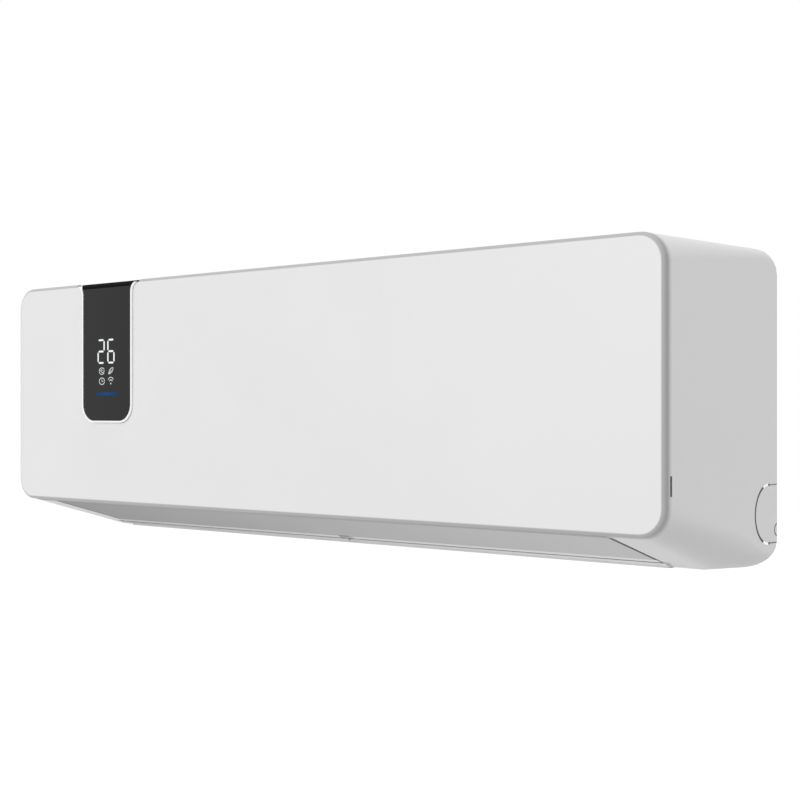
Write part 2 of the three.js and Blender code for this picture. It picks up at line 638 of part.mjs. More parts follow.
function filterGuide() {
  const half = FILTER_OUTER + GUIDE_RAIL;
  const back = FILTER_DEPTH + FILTER_THICK + SEAT_GAP;
  const low = FILTER_BOTTOM - 3;
  const high = HEIGHT - WALL - SEAT_GAP;
  const shape = outline([[-half, low], [half, low], [half, high], [-half, high]]);
  const holes = [];
  const cell = (2 * half - GUIDE_BAR) / GUIDE_COLUMNS;
  const middle = (low + high) / 2;
  const rows = [[low + GUIDE_BAR, middle - GUIDE_MIDDLE], [middle + GUIDE_MIDDLE, high - GUIDE_BAR]];
  for (let i = 0; i < GUIDE_COLUMNS; i += 1) {
    for (const [z0, z1] of rows) {
      const [x0, x1] = [-half + GUIDE_BAR + i * cell, -half + i * cell + cell];
      holes.push([[x0, z0], [x0, z1], [x1, z1], [x1, z0]]);
    }
  }
  const frame = pierced(prismY, shape, holes, back, back + GUIDE_THICK);
  const front = CASING_INSIDE + SEAT_GAP;
  const rails = [-1, 1].map((side) => {
    const [x0, x1] = sorted(side * (FILTER_OUTER + SEAT_GAP * 2), side * half);
    return box(x0, x1, front, back + 1, low, PANEL_PIVOT[1] - 12);
  });
  const sill = box(-half, half, front, back + 1, low, FILTER_BOTTOM - SEAT_GAP);
  return union([frame, ...rails, sill]);
}

// ---------- front panel and display ----------
function panelRing(y, inset) {
  const radius = CORNER_FRONT - inset;
  return frontRing(y, HALF - inset, PANEL_BOTTOM + inset, HEIGHT - inset, radius, radius, 8);
}

function ringOutline(grow, top) {
  const half = DISPLAY_WIDTH / 2 + grow;
  const radius = DISPLAY_CORNER + grow;
  const low = DISPLAY_BOTTOM - grow;
  const flare = DISPLAY_FLARE - grow;
  const start = HEIGHT - DISPLAY_FLARE;
  const shape = new THREE.Shape();
  shape.moveTo(DISPLAY_X + half + flare, top);
  shape.lineTo(DISPLAY_X - half - flare, top);
  shape.lineTo(DISPLAY_X - half - flare, start + flare);
  shape.absarc(DISPLAY_X - half - flare, start, flare, Math.PI / 2, 0, true);
  shape.lineTo(DISPLAY_X - half, low + radius);
  shape.absarc(DISPLAY_X - half + radius, low + radius, radius, Math.PI, Math.PI * 1.5, false);
  shape.lineTo(DISPLAY_X + half - radius, low);
  shape.absarc(DISPLAY_X + half - radius, low + radius, radius, Math.PI * 1.5, Math.PI * 2, false);
  shape.lineTo(DISPLAY_X + half, start);
  shape.absarc(DISPLAY_X + half + flare, start, flare, Math.PI, Math.PI / 2, true);
  return shape;
}

function frontPanel() {
  const rings = [0, 0.25, 0.5, 0.75, 1].map((share) => {
    const angle = share * Math.PI / 2;
    return panelRing(PANEL_EDGE * (1 - Math.cos(angle)), PANEL_EDGE * (1 - Math.sin(angle)));
  });
  const outer = loft([...rings, panelRing(PANEL_RIM, 0)]);
  const pocket = loft([panelRing(PANEL_WALL, PANEL_LIP), panelRing(PANEL_RIM + PAST, PANEL_LIP)]);
  const [y, z] = PANEL_PIVOT;
  const arms = [-1, 1].map((side) => {
    const shape = outline([
      [PANEL_WALL - 0.6, z - PANEL_ARM_LONG], [PANEL_WALL + 1.2, z - PANEL_ARM_LONG], [y + 2.4, z - 1],
      [y + 2.2, z + 1], [y, z + 2.3], [y - 2.2, z + 1.2], [PANEL_WALL - 0.6, z + 0.4],
    ]);
    const [x0, x1] = [side * PANEL_ARM_X - PANEL_ARM_THICK / 2, side * PANEL_ARM_X + PANEL_ARM_THICK / 2];
    const arm = prismX(shape, x0, x1);
    return arm.subtract(rodX(PANEL_PIN_RADIUS + SEAT_GAP, x0 - 1, x1 + 1, PANEL_PIVOT, 12));
  });
  const notch = prismY(ringOutline(RING_WIDTH + SEAT_GAP, HEIGHT + 5), -1, PANEL_RIM + 3);
  return union([outer.subtract(pocket), ...arms]).subtract(notch);
}

// A plate over the front that turns back along the top edge, as an outline in depth and height.
function wrapOutline(front, back, low, top, radius) {
  const rear = Math.max(PANEL_RIM, front + radius) + SEAT_GAP;
  const shape = new THREE.Shape();
  shape.moveTo(front, low);
  shape.lineTo(back, low);
  shape.lineTo(back, HEIGHT - radius);
  shape.lineTo(rear, HEIGHT - WALL);
  shape.lineTo(rear, top);
  shape.lineTo(front + radius, top);
  shape.absarc(front + radius, top - radius, radius, Math.PI / 2, Math.PI, false);
  return shape;
}

function displayRing() {
  const top = HEIGHT - SEAT_GAP;
  const reach = DISPLAY_WIDTH / 2 + DISPLAY_FLARE;
  const wrap = prismX(wrapOutline(-RING_PROUD, RING_DEPTH, DISPLAY_BOTTOM - 2 * RING_WIDTH, top, RING_ROUND),
    DISPLAY_X - reach, DISPLAY_X + reach, 5);
  const band = prismY(ringOutline(RING_WIDTH, HEIGHT + 1), -RING_PROUD - 1, PANEL_RIM);
  const inner = prismY(ringOutline(SEAT_GAP, HEIGHT + 2), -RING_PROUD - 2, PANEL_RIM + 2);
  const cover = box(DISPLAY_X - reach - PAST, DISPLAY_X + reach + PAST, -RING_PROUD - PAST, DEPTH,
    HEIGHT - RING_ROUND / 2, HEIGHT + PAST);
  return wrap.intersect(band).subtract(inner).subtract(cover);
}

function displayGlass() {
  const reach = DISPLAY_WIDTH / 2 + DISPLAY_FLARE;
  const section = wrapOutline(-GLASS_PROUD, GLASS_BACK, DISPLAY_BOTTOM - 5, HEIGHT - SEAT_GAP, GLASS_ROUND);
  const wrap = prismX(section, DISPLAY_X - reach, DISPLAY_X + reach, 6);
  return wrap.intersect(prismY(ringOutline(0, HEIGHT + 2), -GLASS_PROUD - 2, PANEL_RIM));
}

// Half the width, the foot and the top of the housing, inside the glass's round corners.
function housingOutline() {
  const inset = DISPLAY_CORNER * (1 - Math.SQRT1_2);
  return [DISPLAY_WIDTH / 2 - inset, DISPLAY_BOTTOM + inset, HEIGHT - HOUSING_TOP];
}

function displayHousing() {
  const [half, low, high] = housingOutline();
  const front = GLASS_BACK + SEAT_GAP;
  const wall = HOUSING_WALL;
  const outer = box(DISPLAY_X - half, DISPLAY_X + half, front, HOUSING_BACK, low, high);
  return outer.subtract(box(DISPLAY_X - half + wall, DISPLAY_X + half - wall, front - 1, HOUSING_BACK - wall,
    low + wall, high - wall));
}

function displayBoard() {
  const [half, low, high] = housingOutline();
  const gap = HOUSING_WALL + SEAT_GAP;
  const back = HOUSING_BACK - gap;
  const wide = half - gap;
  const solids = [box(DISPLAY_X - wide, DISPLAY_X + wide, back - HOUSING_WALL, back, low + gap, high - gap)];
  for (const [left, right, foot, top, front] of DISPLAY_BLOCKS) {
    const [z0, z1] = [DISPLAY_BOTTOM + foot, DISPLAY_BOTTOM + top];
    solids.push(box(DISPLAY_X + left, DISPLAY_X + right, front, back - 1, z0, z1));
  }
  return union(solids);
}

// ---------- air outlet ----------
function ductCeiling(y) {
  return DUCT_FRONT + (y - CASING_INSIDE) * DUCT_RISE;
}

function vaneXs(side) {
  return Array.from({ length: VANE_COUNT }, (_, i) => side * (VANE_FIRST + i * VANE_PITCH));
}

function outletFrame() {
  const front = CASING_INSIDE + SEAT_GAP;
  const back = FAN_AXIS[0] - FAN_RADIUS - 2 * RUN_GAP;
  const top = FILTER_BOTTOM - 4;
  const crest = [[back, COIL_LOW - 2], [back - WALL, COIL_LOW - 2]];
  const trough = prismX(outline([
    [front, ductCeiling(front)], [back, ductCeiling(back)], ...crest, [back - WALL, ductCeiling(back) + 3],
    [front + WALL, ductCeiling(front) + 3.4], [front + WALL, top], [front, top],
  ]), -OUTLET_HALF_REAR, OUTLET_HALF_REAR);
  const plateBottom = (y) => slopeZ(y) + WALL + 1.2;
  const foot = CHEEK_REAR - 6.5;
  const cheek = outline([
    [front, ductCeiling(front)], [front + 3, plateBottom(front + 3)], [foot, plateBottom(foot)],
    [CHEEK_REAR, plateBottom(foot)], [CHEEK_REAR, 40], ...crest, [front + WALL, top], [front, top],
  ]);
  const solids = [trough];
  const tools = [];
  for (const side of [-1, 1]) {
    const [x0, x1] = sorted(side * (OUTLET_HALF_REAR - 0.5), side * (OUTLET_HALF_REAR + CHEEK));
    const collar = sorted(side * (OUTLET_HALF_REAR + SEAT_GAP), side * (OUTLET_HALF_REAR + CHEEK));
    const pivot = [FLAP_PIVOT_DEPTH, PIVOT_Z];
    const screw = [side * SCREW_X, SCREW_Z];
    solids.push(prismX(cheek, x0, x1), rodX(FLAP_BARREL, ...collar, pivot, 16));
    solids.push(rodY(4, front, front + 8, screw, 12));
    tools.push(rodX(FLAP_PIN_RADIUS + SEAT_GAP, x0 - PAST, x1 + PAST, pivot, 16));
    tools.push(rodY(SCREW_RADIUS + SEAT_GAP, front - PAST, front + 7, screw, 12));
    const roof = ductCeiling(VANE_PIVOT);
    for (const x of vaneXs(side)) {
      solids.push(rodZ(VANE_BOSS, roof + 1, roof + 7, [x, VANE_PIVOT], 10));
      tools.push(rodZ(VANE_PIVOT_RADIUS + SEAT_GAP, roof - 4, roof + 5, [x, VANE_PIVOT], 10));
    }
  }
  return cutAll(union(solids), tools);
}

function verticalVane(x) {
  const roof = (y) => ductCeiling(y) - VANE_TOP_GAP;
  const low = (y) => slopeZ(y) + FLAP_THICK + 4.6;
  const overLink = LINK_HEIGHT + LINK_THICK + 1;
  const blade = prismX(outline([
    [VANE_FRONT, overLink], [VANE_STEP, overLink], [VANE_STEP + 2, low(VANE_STEP + 2)],
    [VANE_HEEL, low(VANE_HEEL) + 2], [VANE_REAR, low(VANE_HEEL) + 5], [VANE_REAR, roof(VANE_REAR - 1)],
    [VANE_FRONT, roof(VANE_FRONT)],
  ]), x - VANE_THICK / 2, x + VANE_THICK / 2);
  const top = ductCeiling(VANE_PIVOT) + 4.4;
  const pivot = rodZ(VANE_PIVOT_RADIUS, roof(VANE_PIVOT) - 3, top, [x, VANE_PIVOT], 10);
  const pin = rodZ(VANE_PIN_RADIUS, LINK_HEIGHT - 0.4, overLink + 3, [x, VANE_PIN_DEPTH], 8);
  return union([blade, pivot, pin]);
}

function linkBar(side) {
  const xs = vaneXs(side);
  const [a, b] = [Math.min(...xs) - 6, Math.max(...xs) + 6];
  const [front, back] = [VANE_PIN_DEPTH - 4, VANE_PIN_DEPTH + 5.5];
  const shape = outline([[a, front], [b, front], [b, back], [a, back]]);
  const wide = VANE_PIN_RADIUS + 0.65;
  const [y0, y1] = [VANE_PIN_DEPTH - VANE_PIN_RADIUS - 0.6, VANE_PIN_DEPTH + VANE_PIN_RADIUS + 2.4];
  const slots = xs.map((x) => [[x - wide, y0], [x - wide, y1], [x + wide, y1], [x + wide, y0]]);
  return pierced(prismZ, shape, slots, LINK_HEIGHT, LINK_HEIGHT + LINK_THICK);
}

function horizontalFlap() {
  const front = OUTLET_FRONT + RUN_GAP;
  const rear = OUTLET_REAR - RUN_GAP - 0.4;
  const profile = outline([
    [front, slopeZ(front)], [rear - 4.2, slopeZ(rear - 4.2)], [rear - 3, slopeZ(rear - 3) - FLAP_BEAD * 0.7],
    [rear - 1.6, slopeZ(rear - 1.6) - FLAP_BEAD], [rear - 0.4, slopeZ(rear) - FLAP_BEAD * 0.4],
    [rear, slopeZ(rear) + 1], [rear - 0.6, slopeZ(rear) + FLAP_THICK],
    [front + 0.4, slopeZ(front) + FLAP_THICK - 0.4],
  ]);
  const blank = prismX(profile, -HALF, HALF).intersect(prismZ(outletShape(RUN_GAP), -10, SLOPE_HEIGHT + 20));
  const end = OUTLET_HALF_REAR - 0.6;
  const barrel = rodX(FLAP_BARREL, -end, end, [FLAP_PIVOT_DEPTH, PIVOT_Z + 0.4], 14)
    .intersect(box(-end, end, FLAP_PIVOT_DEPTH - 10.5, rear, slopeZ(FLAP_PIVOT_DEPTH) + 0.6, 20));
  const pin = [FLAP_PIVOT_DEPTH, PIVOT_Z];
  const ends = [-1, 1].map((side) => (
    rodX(FLAP_PIN_RADIUS + SEAT_GAP, ...sorted(side * (end - FLAP_PIN_HOLD), side * HALF), pin, 16)));
  const cornerFront = OUTLET_REAR - PIVOT_NOTCH_DEPTH + 0.4;
  const corners = [-1, 1].map((side) => (
    box(...sorted(side * end, side * HALF), cornerFront, OUTLET_REAR, -5, SLOPE_HEIGHT)));
  const half = FLAP_NOTCH / 2;
  const notch = box(-half, half, OUTLET_REAR - FLAP_NOTCH_DEPTH, OUTLET_REAR, -5, SLOPE_HEIGHT);
  return cutAll(blank.add(barrel), [...ends, ...corners, notch]);
}

function centreBracket() {
  const half = FLAP_NOTCH / 2 - RUN_GAP;
  const swept = Math.hypot(FLAP_PIVOT_DEPTH - OUTLET_REAR + FLAP_NOTCH_DEPTH, FLAP_PIVOT_RISE);
  const front = FLAP_PIVOT_DEPTH + swept + RUN_GAP;
  const [edge, back] = [OUTLET_REAR - RUN_GAP, OUTLET_REAR + BRACKET_BACK];
  const seat = slopeZ(OUTLET_REAR) + WALL + SEAT_GAP;
  return prismX(outline([
    [front, slopeZ(front) + 0.4], [edge, slopeZ(edge) - 0.8], [edge, seat], [back, seat],
    [back, seat + 2], [front, seat + 3],
  ]), -half, half);
}

function flapMotor() {
  const [x0, x1] = [OUTLET_HALF_REAR + CHEEK + SEAT_GAP * 2, PIVOT_NOTCH - 0.6];
  const [ahead, behind, top] = FLAP_MOTOR_BOX;
  const [y0, y1] = [FLAP_PIVOT_DEPTH + ahead, FLAP_PIVOT_DEPTH + behind];
  const gearbox = prismX(outline([[y0, slopeZ(y0)], [y1, slopeZ(y1)], [y1, top], [y0, top]]), x0, x1);
  const middle = [FLAP_PIVOT_DEPTH, FLAP_MOTOR_HEIGHT];
  const can = rodX(FLAP_MOTOR_RADIUS, x0 + 2, x1 + FLAP_MOTOR_LONG, middle, 20);
  const hole = rodX(FLAP_PIN_RADIUS + SEAT_GAP, x0 - PAST, x1 - 2, [FLAP_PIVOT_DEPTH, PIVOT_Z], 16);
  return gearbox.add(can).subtract(hole);
}

function flapPin(side) {
  const inner = OUTLET_HALF_REAR - 0.6 - FLAP_PIN_HOLD + 0.4;
  const outer = side > 0 ? PIVOT_NOTCH - 3 : OUTLET_HALF_REAR + CHEEK;
  return rodX(FLAP_PIN_RADIUS, ...sorted(side * inner, side * outer), [FLAP_PIVOT_DEPTH, PIVOT_Z], 16);
}

// ---------- fan ----------
function crossFlowFan() {
  const [cy, cz] = FAN_AXIS;
  const inner = FAN_RADIUS - FAN_WHEEL_WALL;
  const blades = Array.from({ length: FAN_BLADES }, (_, i) => {
    const turn = 2 * Math.PI * i / FAN_BLADES;
    const rim = depthSteps(0, 1, 2).map((share) => {
      const radius = inner + (FAN_RADIUS - 1 - inner) * share;
      return [radius, turn + FAN_BLADE_TWIST * share * share];
    });
    const side = (shift) => rim.map(([radius, angle]) => {
      const a = angle + shift / radius;
      return [cy + radius * Math.cos(a), cz + radius * Math.sin(a)];
    });
    const section = outline([...side(FAN_BLADE_THICK / 2), ...side(-FAN_BLADE_THICK / 2).reverse()]);
    return prismX(section, FAN_LEFT + 1, FAN_RIGHT - 1);
  });
  const step = (FAN_RIGHT - FAN_LEFT - FAN_DISC_THICK) / (FAN_DISCS - 1);
  const discs = Array.from({ length: FAN_DISCS }, (_, i) => {
    const x = FAN_LEFT + i * step;
    const disc = rodX(FAN_RADIUS, x, x + FAN_DISC_THICK, FAN_AXIS, 24);
    const bore = i === 0 || i === FAN_DISCS - 1 ? SHAFT_RADIUS + SEAT_GAP : inner - 3;
    return disc.subtract(rodX(bore, x - PAST, x + FAN_DISC_THICK + PAST, FAN_AXIS, 16));
  });
  return union([...discs, ...blades]);
}

// ---------- heat exchanger ----------
function coilSections() {
  const [apexY, apexZ] = COIL_APEX;
  const lean = new THREE.Vector2(apexY - COIL_FRONT, apexZ - COIL_KNEE).normalize();
  const fall = new THREE.Vector2(COIL_REAR_END[0] - apexY, COIL_REAR_END[1] - apexZ).normalize();
  const slab = (start, end, along, side) => {
    const [nx, nz] = [along.y * side * COIL_THICK, -along.x * side * COIL_THICK];
    return [start, end, [end[0] + nx, end[1] + nz], [start[0] + nx, start[1] + nz]];
  };
  const top = COIL_KNEE - COIL_UPRIGHT_TOP;
  const back = COIL_FRONT + COIL_THICK;
  const upright = [[COIL_FRONT, COIL_LOW], [COIL_FRONT, top], [back, top], [back, COIL_LOW]];
  const leanStart = [COIL_FRONT + lean.x * COIL_LEAN_START, COIL_KNEE + lean.y * COIL_LEAN_START];
  const meet = (along) => (COIL_THICK * Math.abs(along.y) + RUN_GAP) / along.x;
  const leanEnd = [apexY - lean.x * meet(lean), apexZ - lean.y * meet(lean)];
  const fallStart = [apexY + fall.x * meet(fall), apexZ + fall.y * meet(fall)];
  return {
    front_lower: upright,
    front_upper: slab(leanStart, leanEnd, lean, 1),
    rear: slab(fallStart, COIL_REAR_END, fall, 1),
  };
}

function middleOf(points) {
  return [0, 1].map((k) => points.reduce((sum, point) => sum + point[k], 0) / points.length);
}

// A place on a coil section, so far along it from its middle.
function alongSection(points, distance) {
  const [p, q] = points;
  const along = new THREE.Vector2(q[0] - p[0], q[1] - p[1]).normalize();
  const [cy, cz] = middleOf(points);
  return { along, at: [cy + along.x * distance, cz + along.y * distance] };
}

function returnBend(x, points, distance) {
  const { along, at } = alongSection(points, distance);
  const loop = new THREE.TorusGeometry(BEND_RADIUS, BEND_TUBE, 6, 16);
  const outwards = new THREE.Vector3(1, 0, 0);
  loop.applyMatrix4(new THREE.Matrix4().makeBasis(
    new THREE.Vector3(0, along.x, along.y), outwards, new THREE.Vector3(0, along.y, -along.x)));
  loop.translate(x, ...at);
  return toSolid(loop).intersect(box(x - 0.4, x + BEND_RADIUS * 2, 0, DEPTH, 0, HEIGHT));
}

// End plate of the three sections, with its return bends.
function tubeSheet(x0, x1, bends) {
  const sections = coilSections();
  const plates = Object.values(sections).map((points) => prismX(outline(points), x0, x1));
  const knee = box(x0, x1, COIL_FRONT + 2, COIL_FRONT + COIL_THICK, COIL_KNEE - 10, COIL_KNEE + 12);
  const apexZ = sections.rear[0][1];
  const apex = box(x0, x1, COIL_APEX[0] - 18, COIL_APEX[0] + 18, apexZ - 14, apexZ - 2);
  const loops = bends.map(([name, distance]) => returnBend(x1 - 0.2, sections[name], distance));
  return union([...plates, knee, apex, ...loops]);
}

// ---------- rear chassis ----------
function scrollShape() {
  const [cy, cz] = FAN_AXIS;
  const inner = new THREE.CatmullRomCurve3([
    new THREE.Vector3(OUTLET_REAR + SCROLL_LIP[0], SCROLL_LIP[1], 0),
    ...SCROLL_CURVE.map(([y, z]) => new THREE.Vector3(cy + y, cz + z, 0)),
  ]).getPoints(16);
  const outer = inner.map((p, i) => {
    const a = inner[Math.max(i - 1, 0)];
    const b = inner[Math.min(i + 1, inner.length - 1)];
    const d = new THREE.Vector2(b.x - a.x, b.y - a.y).normalize();
    return [p.x + d.y * WALL, p.y - d.x * WALL];
  });
  return outline([...inner.map((p) => [p.x, p.y]), ...outer.reverse()]);
}

// Wall of the air path beside the fan, as an outline from the fan's axis.
function cheekOutline() {
  const [cy, cz] = FAN_AXIS;
  return outline([
    [10, -74], [38, -56], [52, -20], [53, 20], [50, 44], [20, 44], [-48, 44], [-48, -16], [-28, -40],
  ].map(([y, z]) => [cy + y, cz + z]));
}

function rearChassis() {
  const back = DEPTH - PLATE_THICK - SEAT_GAP * 2;
  const wallFront = back - WALL;
  const flange = back - BACK_FLANGE + 0.9;
  const [fanY, fanZ] = FAN_AXIS;
  const airEnd = COIL_RIGHT + 7.5;
  const scroll = prismX(scrollShape(), SCROLL_LEFT, SCROLL_RIGHT);
  const wall = box(-BACK_HALF, BACK_HALF, wallFront, back, BACK_WALL_BOTTOM, BACK_WALL_TOP);
  const [floor, lip, rimTop] = [GUTTER_FLOOR - 3, GUTTER_FRONT + WALL, GUTTER_FLOOR + GUTTER_HIGH];
  const gutter = prismX(outline([
    [lip + 3, floor], [wallFront + 1, floor], [wallFront + 1, GUTTER_FLOOR], [lip, GUTTER_FLOOR],
    [lip, rimTop], [GUTTER_FRONT, rimTop], [GUTTER_FRONT, GUTTER_FLOOR],
  ]), SCROLL_LEFT, airEnd + 0.5);
  const webs = WEB_XS.map((x) => box(x, x + WALL, fanY + 52.6, wallFront + 1, fanZ, floor + 2));
  const topFlange = box(-BACK_HALF, BACK_HALF, flange, back, BACK_WALL_TOP - WALL, BACK_WALL_TOP);
  const skirts = [-1, 1].map((side) => {
    const [x0, x1] = sorted(side * BACK_HALF, side * (BACK_HALF - WALL));
    return box(x0, x1, flange, back, BACK_WALL_BOTTOM, BACK_WALL_TOP);
  });
  const cheeks = [SCROLL_LEFT, airEnd].map((x) => prismX(cheekOutline(), x, x + WALL));
  const cradle = CRADLE_XS.map((x) => box(x, x + CRADLE_RIB, fanY - 26, fanY + 52, 40, fanZ));
  const floorRib = box(CRADLE_XS[0], CRADLE_XS[1] + CRADLE_RIB, fanY + 10, fanY + 44, 34, 42);
  const hooks = [-1, 1].map((side) => {
    const half = HOOK_WIDTH / 2 + PAST;
    return box(side * HOOK_X - half, side * HOOK_X + half, wallFront - 2, back + 2,
      HOOK_HEIGHT - 3, HOOK_HEIGHT + HOOK_THICK + SEAT_GAP);
  });
  const tools = [
    ...hooks,
    rodX(BEARING_RADIUS, SCROLL_LEFT - PAST, SCROLL_LEFT + WALL + PAST, FAN_AXIS, 24),
    rodX(SHAFT_RADIUS + 2, airEnd - PAST, airEnd + WALL + PAST, FAN_AXIS, 24),
    rodX(MOTOR_RADIUS + SEAT_GAP, MOTOR_LEFT - 2, MOTOR_RIGHT + 2, FAN_AXIS, 32),
    box(airEnd + WALL + 1, SCROLL_RIGHT + PAST, fanY + 32, fanY + 57, fanZ + 8, fanZ + 50),
    ...insideCoils(SEAT_GAP),
  ];
  const solids = [scroll, wall, gutter, ...webs, topFlange, ...skirts, ...cheeks, ...cradle, floorRib];
  return cutAll(union(solids), tools);
}

// The space of the three coil sections, grown a little, for what has to stay clear of it.
function insideCoils(grow) {
  return Object.values(coilSections()).map((points) => {
    const [p, q, , s] = points.map(([y, z]) => new THREE.Vector2(y, z));
    const [u, v] = [q.sub(p).setLength(grow), s.sub(p).setLength(grow)];
    const grown = [[-1, -1], [1, -1], [1, 1], [-1, 1]].map(([a, b], i) => (
      [points[i][0] + a * u.x + b * v.x, points[i][1] + a * u.y + b * v.y]));
    return prismX(outline(grown), COIL_LEFT - TUBE_SHEET - RUN_GAP, COIL_RIGHT + TUBE_SHEET + RUN_GAP);
  });
}

function wallPlate() {
  const [front, back] = [DEPTH - PLATE_THICK, DEPTH];
  const corners = (x0, x1, z0, z1) => [[x0, z0], [x1, z0], [x1, z1], [x0, z1]];
  const shape = outline(corners(-PLATE_HALF, PLATE_HALF, PLATE_BOTTOM, PLATE_TOP));
  const [middle, half, foot, head] = PLATE_WINDOW;
  const holes = [-1, 1].map((side) => corners(side * middle - half, side * middle + half, foot, head));
  const [long, high] = PLATE_SLOT;
  for (const z of [PLATE_BOTTOM + PLATE_SLOT_LOW, PLATE_TOP - PLATE_SLOT_HIGH]) {
    holes.push(...PLATE_SLOT_XS.map((x) => corners(x, x + long, z, z + high)));
  }
  const plate = pierced(prismY, shape, holes, front, back);
  const wallFront = front - SEAT_GAP * 2 - WALL;
  const hooks = [-1, 1].flatMap((side) => {
    const [x0, x1] = [side * HOOK_X - HOOK_WIDTH / 2, side * HOOK_X + HOOK_WIDTH / 2];
    const tip = wallFront - 2 * PLATE_THICK;
    return [
      box(x0, x1, tip, front + 0.5, HOOK_HEIGHT, HOOK_HEIGHT + HOOK_THICK),
      box(x0, x1, tip, tip + PLATE_THICK, HOOK_HEIGHT, HOOK_HEIGHT + HOOK_TALL),
    ];
  });
  const clips = [-1, 1].flatMap((side) => {
    const [x0, x1] = [side * CLIP_X - CLIP_WIDTH / 2, side * CLIP_X + CLIP_WIDTH / 2];
    const top = BACK_WALL_BOTTOM - SEAT_GAP;
    return [
      box(x0, x1, front, back, top - HOOK_THICK, PLATE_BOTTOM + 1),
      box(x0, x1, wallFront, front + 0.5, top - HOOK_THICK, top),
    ];
  });
  return union([plate, ...hooks, ...clips]);
}

// ---------- drive and controls ----------
function fanMotor() {
  const can = rodX(MOTOR_RADIUS, MOTOR_LEFT + MOTOR_NOSE, MOTOR_RIGHT, FAN_AXIS, 32);
  const nose = rodX(MOTOR_NOSE_RADIUS, MOTOR_LEFT, MOTOR_LEFT + MOTOR_NOSE + 1, FAN_AXIS, 24);
  const bore = rodX(SHAFT_RADIUS + SEAT_GAP, MOTOR_LEFT - PAST, MOTOR_LEFT + MOTOR_BORE, FAN_AXIS, 20);
  return can.add(nose).subtract(bore);
}

function motorClamp() {
  const [y, z] = FAN_AXIS;
  const [x0, x1] = [CLAMP_LEFT, CLAMP_LEFT + CLAMP_WIDTH];
  const inner = MOTOR_RADIUS + SEAT_GAP;
  const band = rodX(inner + CLAMP_THICK, x0, x1, FAN_AXIS, 32)
    .subtract(rodX(inner, x0 - 2, x1 + 2, FAN_AXIS, 32))
    .intersect(box(x0 - PAST, x1 + PAST, 0, DEPTH, z + 1, HEIGHT));
  const feet = [-1, 1].map((side) => {
    const [y0, y1] = sorted(y + side * (MOTOR_RADIUS + 1), y + side * (MOTOR_RADIUS + CLAMP_FOOT));
    return box(x0, x1, y0, y1, z + 1, z + 1 + CLAMP_THICK);
  });
  return union([band, ...feet]);
}

function electricalBox() {
  const outer = box(BOX_LEFT, BOX_RIGHT, BOX_FRONT, BOX_REAR, BOX_BOTTOM, BOX_TOP);
  const inner = box(BOX_LEFT + WALL, BOX_RIGHT - WALL, BOX_FRONT - PAST, BOX_REAR - WALL,
    BOX_BOTTOM + WALL, BOX_TOP - WALL);
  const wallFront = DEPTH - PLATE_THICK - SEAT_GAP * 3 - WALL;
  const foot = box(BOX_LEFT + 4, BOX_RIGHT - 4, BOX_REAR - WALL, wallFront, BOX_BOTTOM + 30, BOX_BOTTOM + 33);
  return outer.add(foot).subtract(inner);
}

function boxCover() {
  const [y0, y1] = [BOX_FRONT - SEAT_GAP - BOX_COVER, BOX_FRONT - SEAT_GAP];
  const lid = box(BOX_LEFT, BOX_RIGHT, y0, y1, BOX_BOTTOM, BOX_TOP);
  const [tall, thick] = BOX_RIM;
  const block = (inset, from, to) => (
    box(BOX_LEFT + inset, BOX_RIGHT - inset, from, to, BOX_BOTTOM + inset, BOX_TOP - inset));
  const outside = WALL + SEAT_GAP;
  const rim = block(outside, y1 - 0.5, y1 + tall).subtract(block(outside + thick, y1, y1 + tall + PAST));
  return lid.add(rim);
}

function controlBoard() {
  const gap = WALL + SEAT_GAP;
  const back = BOX_REAR - gap;
  const [x, low, high] = [BOX_LEFT, BOX_BOTTOM, BOX_TOP];
  return union([
    box(x + gap, BOX_RIGHT - gap, back - BOARD_THICK, back, low + gap, high - gap),
    box(x + 10, x + 34, back - 26, back - 1, low + 12, low + 40),
    box(x + 42, x + 60, back - 18, back - 1, low + 14, low + 34),
    rodY(8, back - 32, back - 1, [x + 24, high - 32], 16),
    rodY(5, back - 20, back - 1, [x + 48, high - 36], 12),
    box(x + 42, x + 72, back - 10, back - 1, high - 22, high - 12),
  ]);
}

function terminalBlock() {
  const [wide, deep, high] = TERMINAL_SIZE;
  const [x0, y0, z0] = [BOX_RIGHT - 2 - wide, TERMINAL_FRONT, BOX_BOTTOM - SEAT_GAP - high];
  const block = box(x0, x0 + wide, y0, y0 + deep, z0, z0 + high);
  const [slotWide, slotDeep, slotHigh] = TERMINAL_SLOT;
  const slots = Array.from({ length: TERMINALS }, (_, i) => {
    const x = x0 + 3 + i * TERMINAL_PITCH;
    return box(x, x + slotWide, y0 - PAST, y0 + slotDeep, z0 + 4, z0 + 4 + slotHigh);
  });
  return cutAll(block, slots);
}

function pressButton() {
  const middle = [BUTTON_X, BUTTON_Z];
  const stem = rodY(BUTTON_RADIUS, PANEL_RIM + RUN_GAP, CASING_INSIDE + 0.6, middle);
  const flange = rodY(BUTTON_RADIUS + BUTTON_FLANGE, CASING_INSIDE + SEAT_GAP, CASING_INSIDE + 1.5, middle);
  return stem.add(flange);
}

function buttonSwitch() {
  const start = CASING_INSIDE + 1.5 + BUTTON_TRAVEL + SEAT_GAP;
  const [x, z, half] = [BUTTON_X, BUTTON_Z, SWITCH_HALF];
  const body = box(x - half, x + half, start + 2, start + 7, z - half, z + half);
  const tip = rodY(2, start, start + 3, [x, z], 12);
  const arm = box(OUTLET_HALF_REAR + CHEEK + SEAT_GAP, x, start + 2, start + 5, z - half + 2, z + half - 2);
  return union([body, tip, arm]);
}

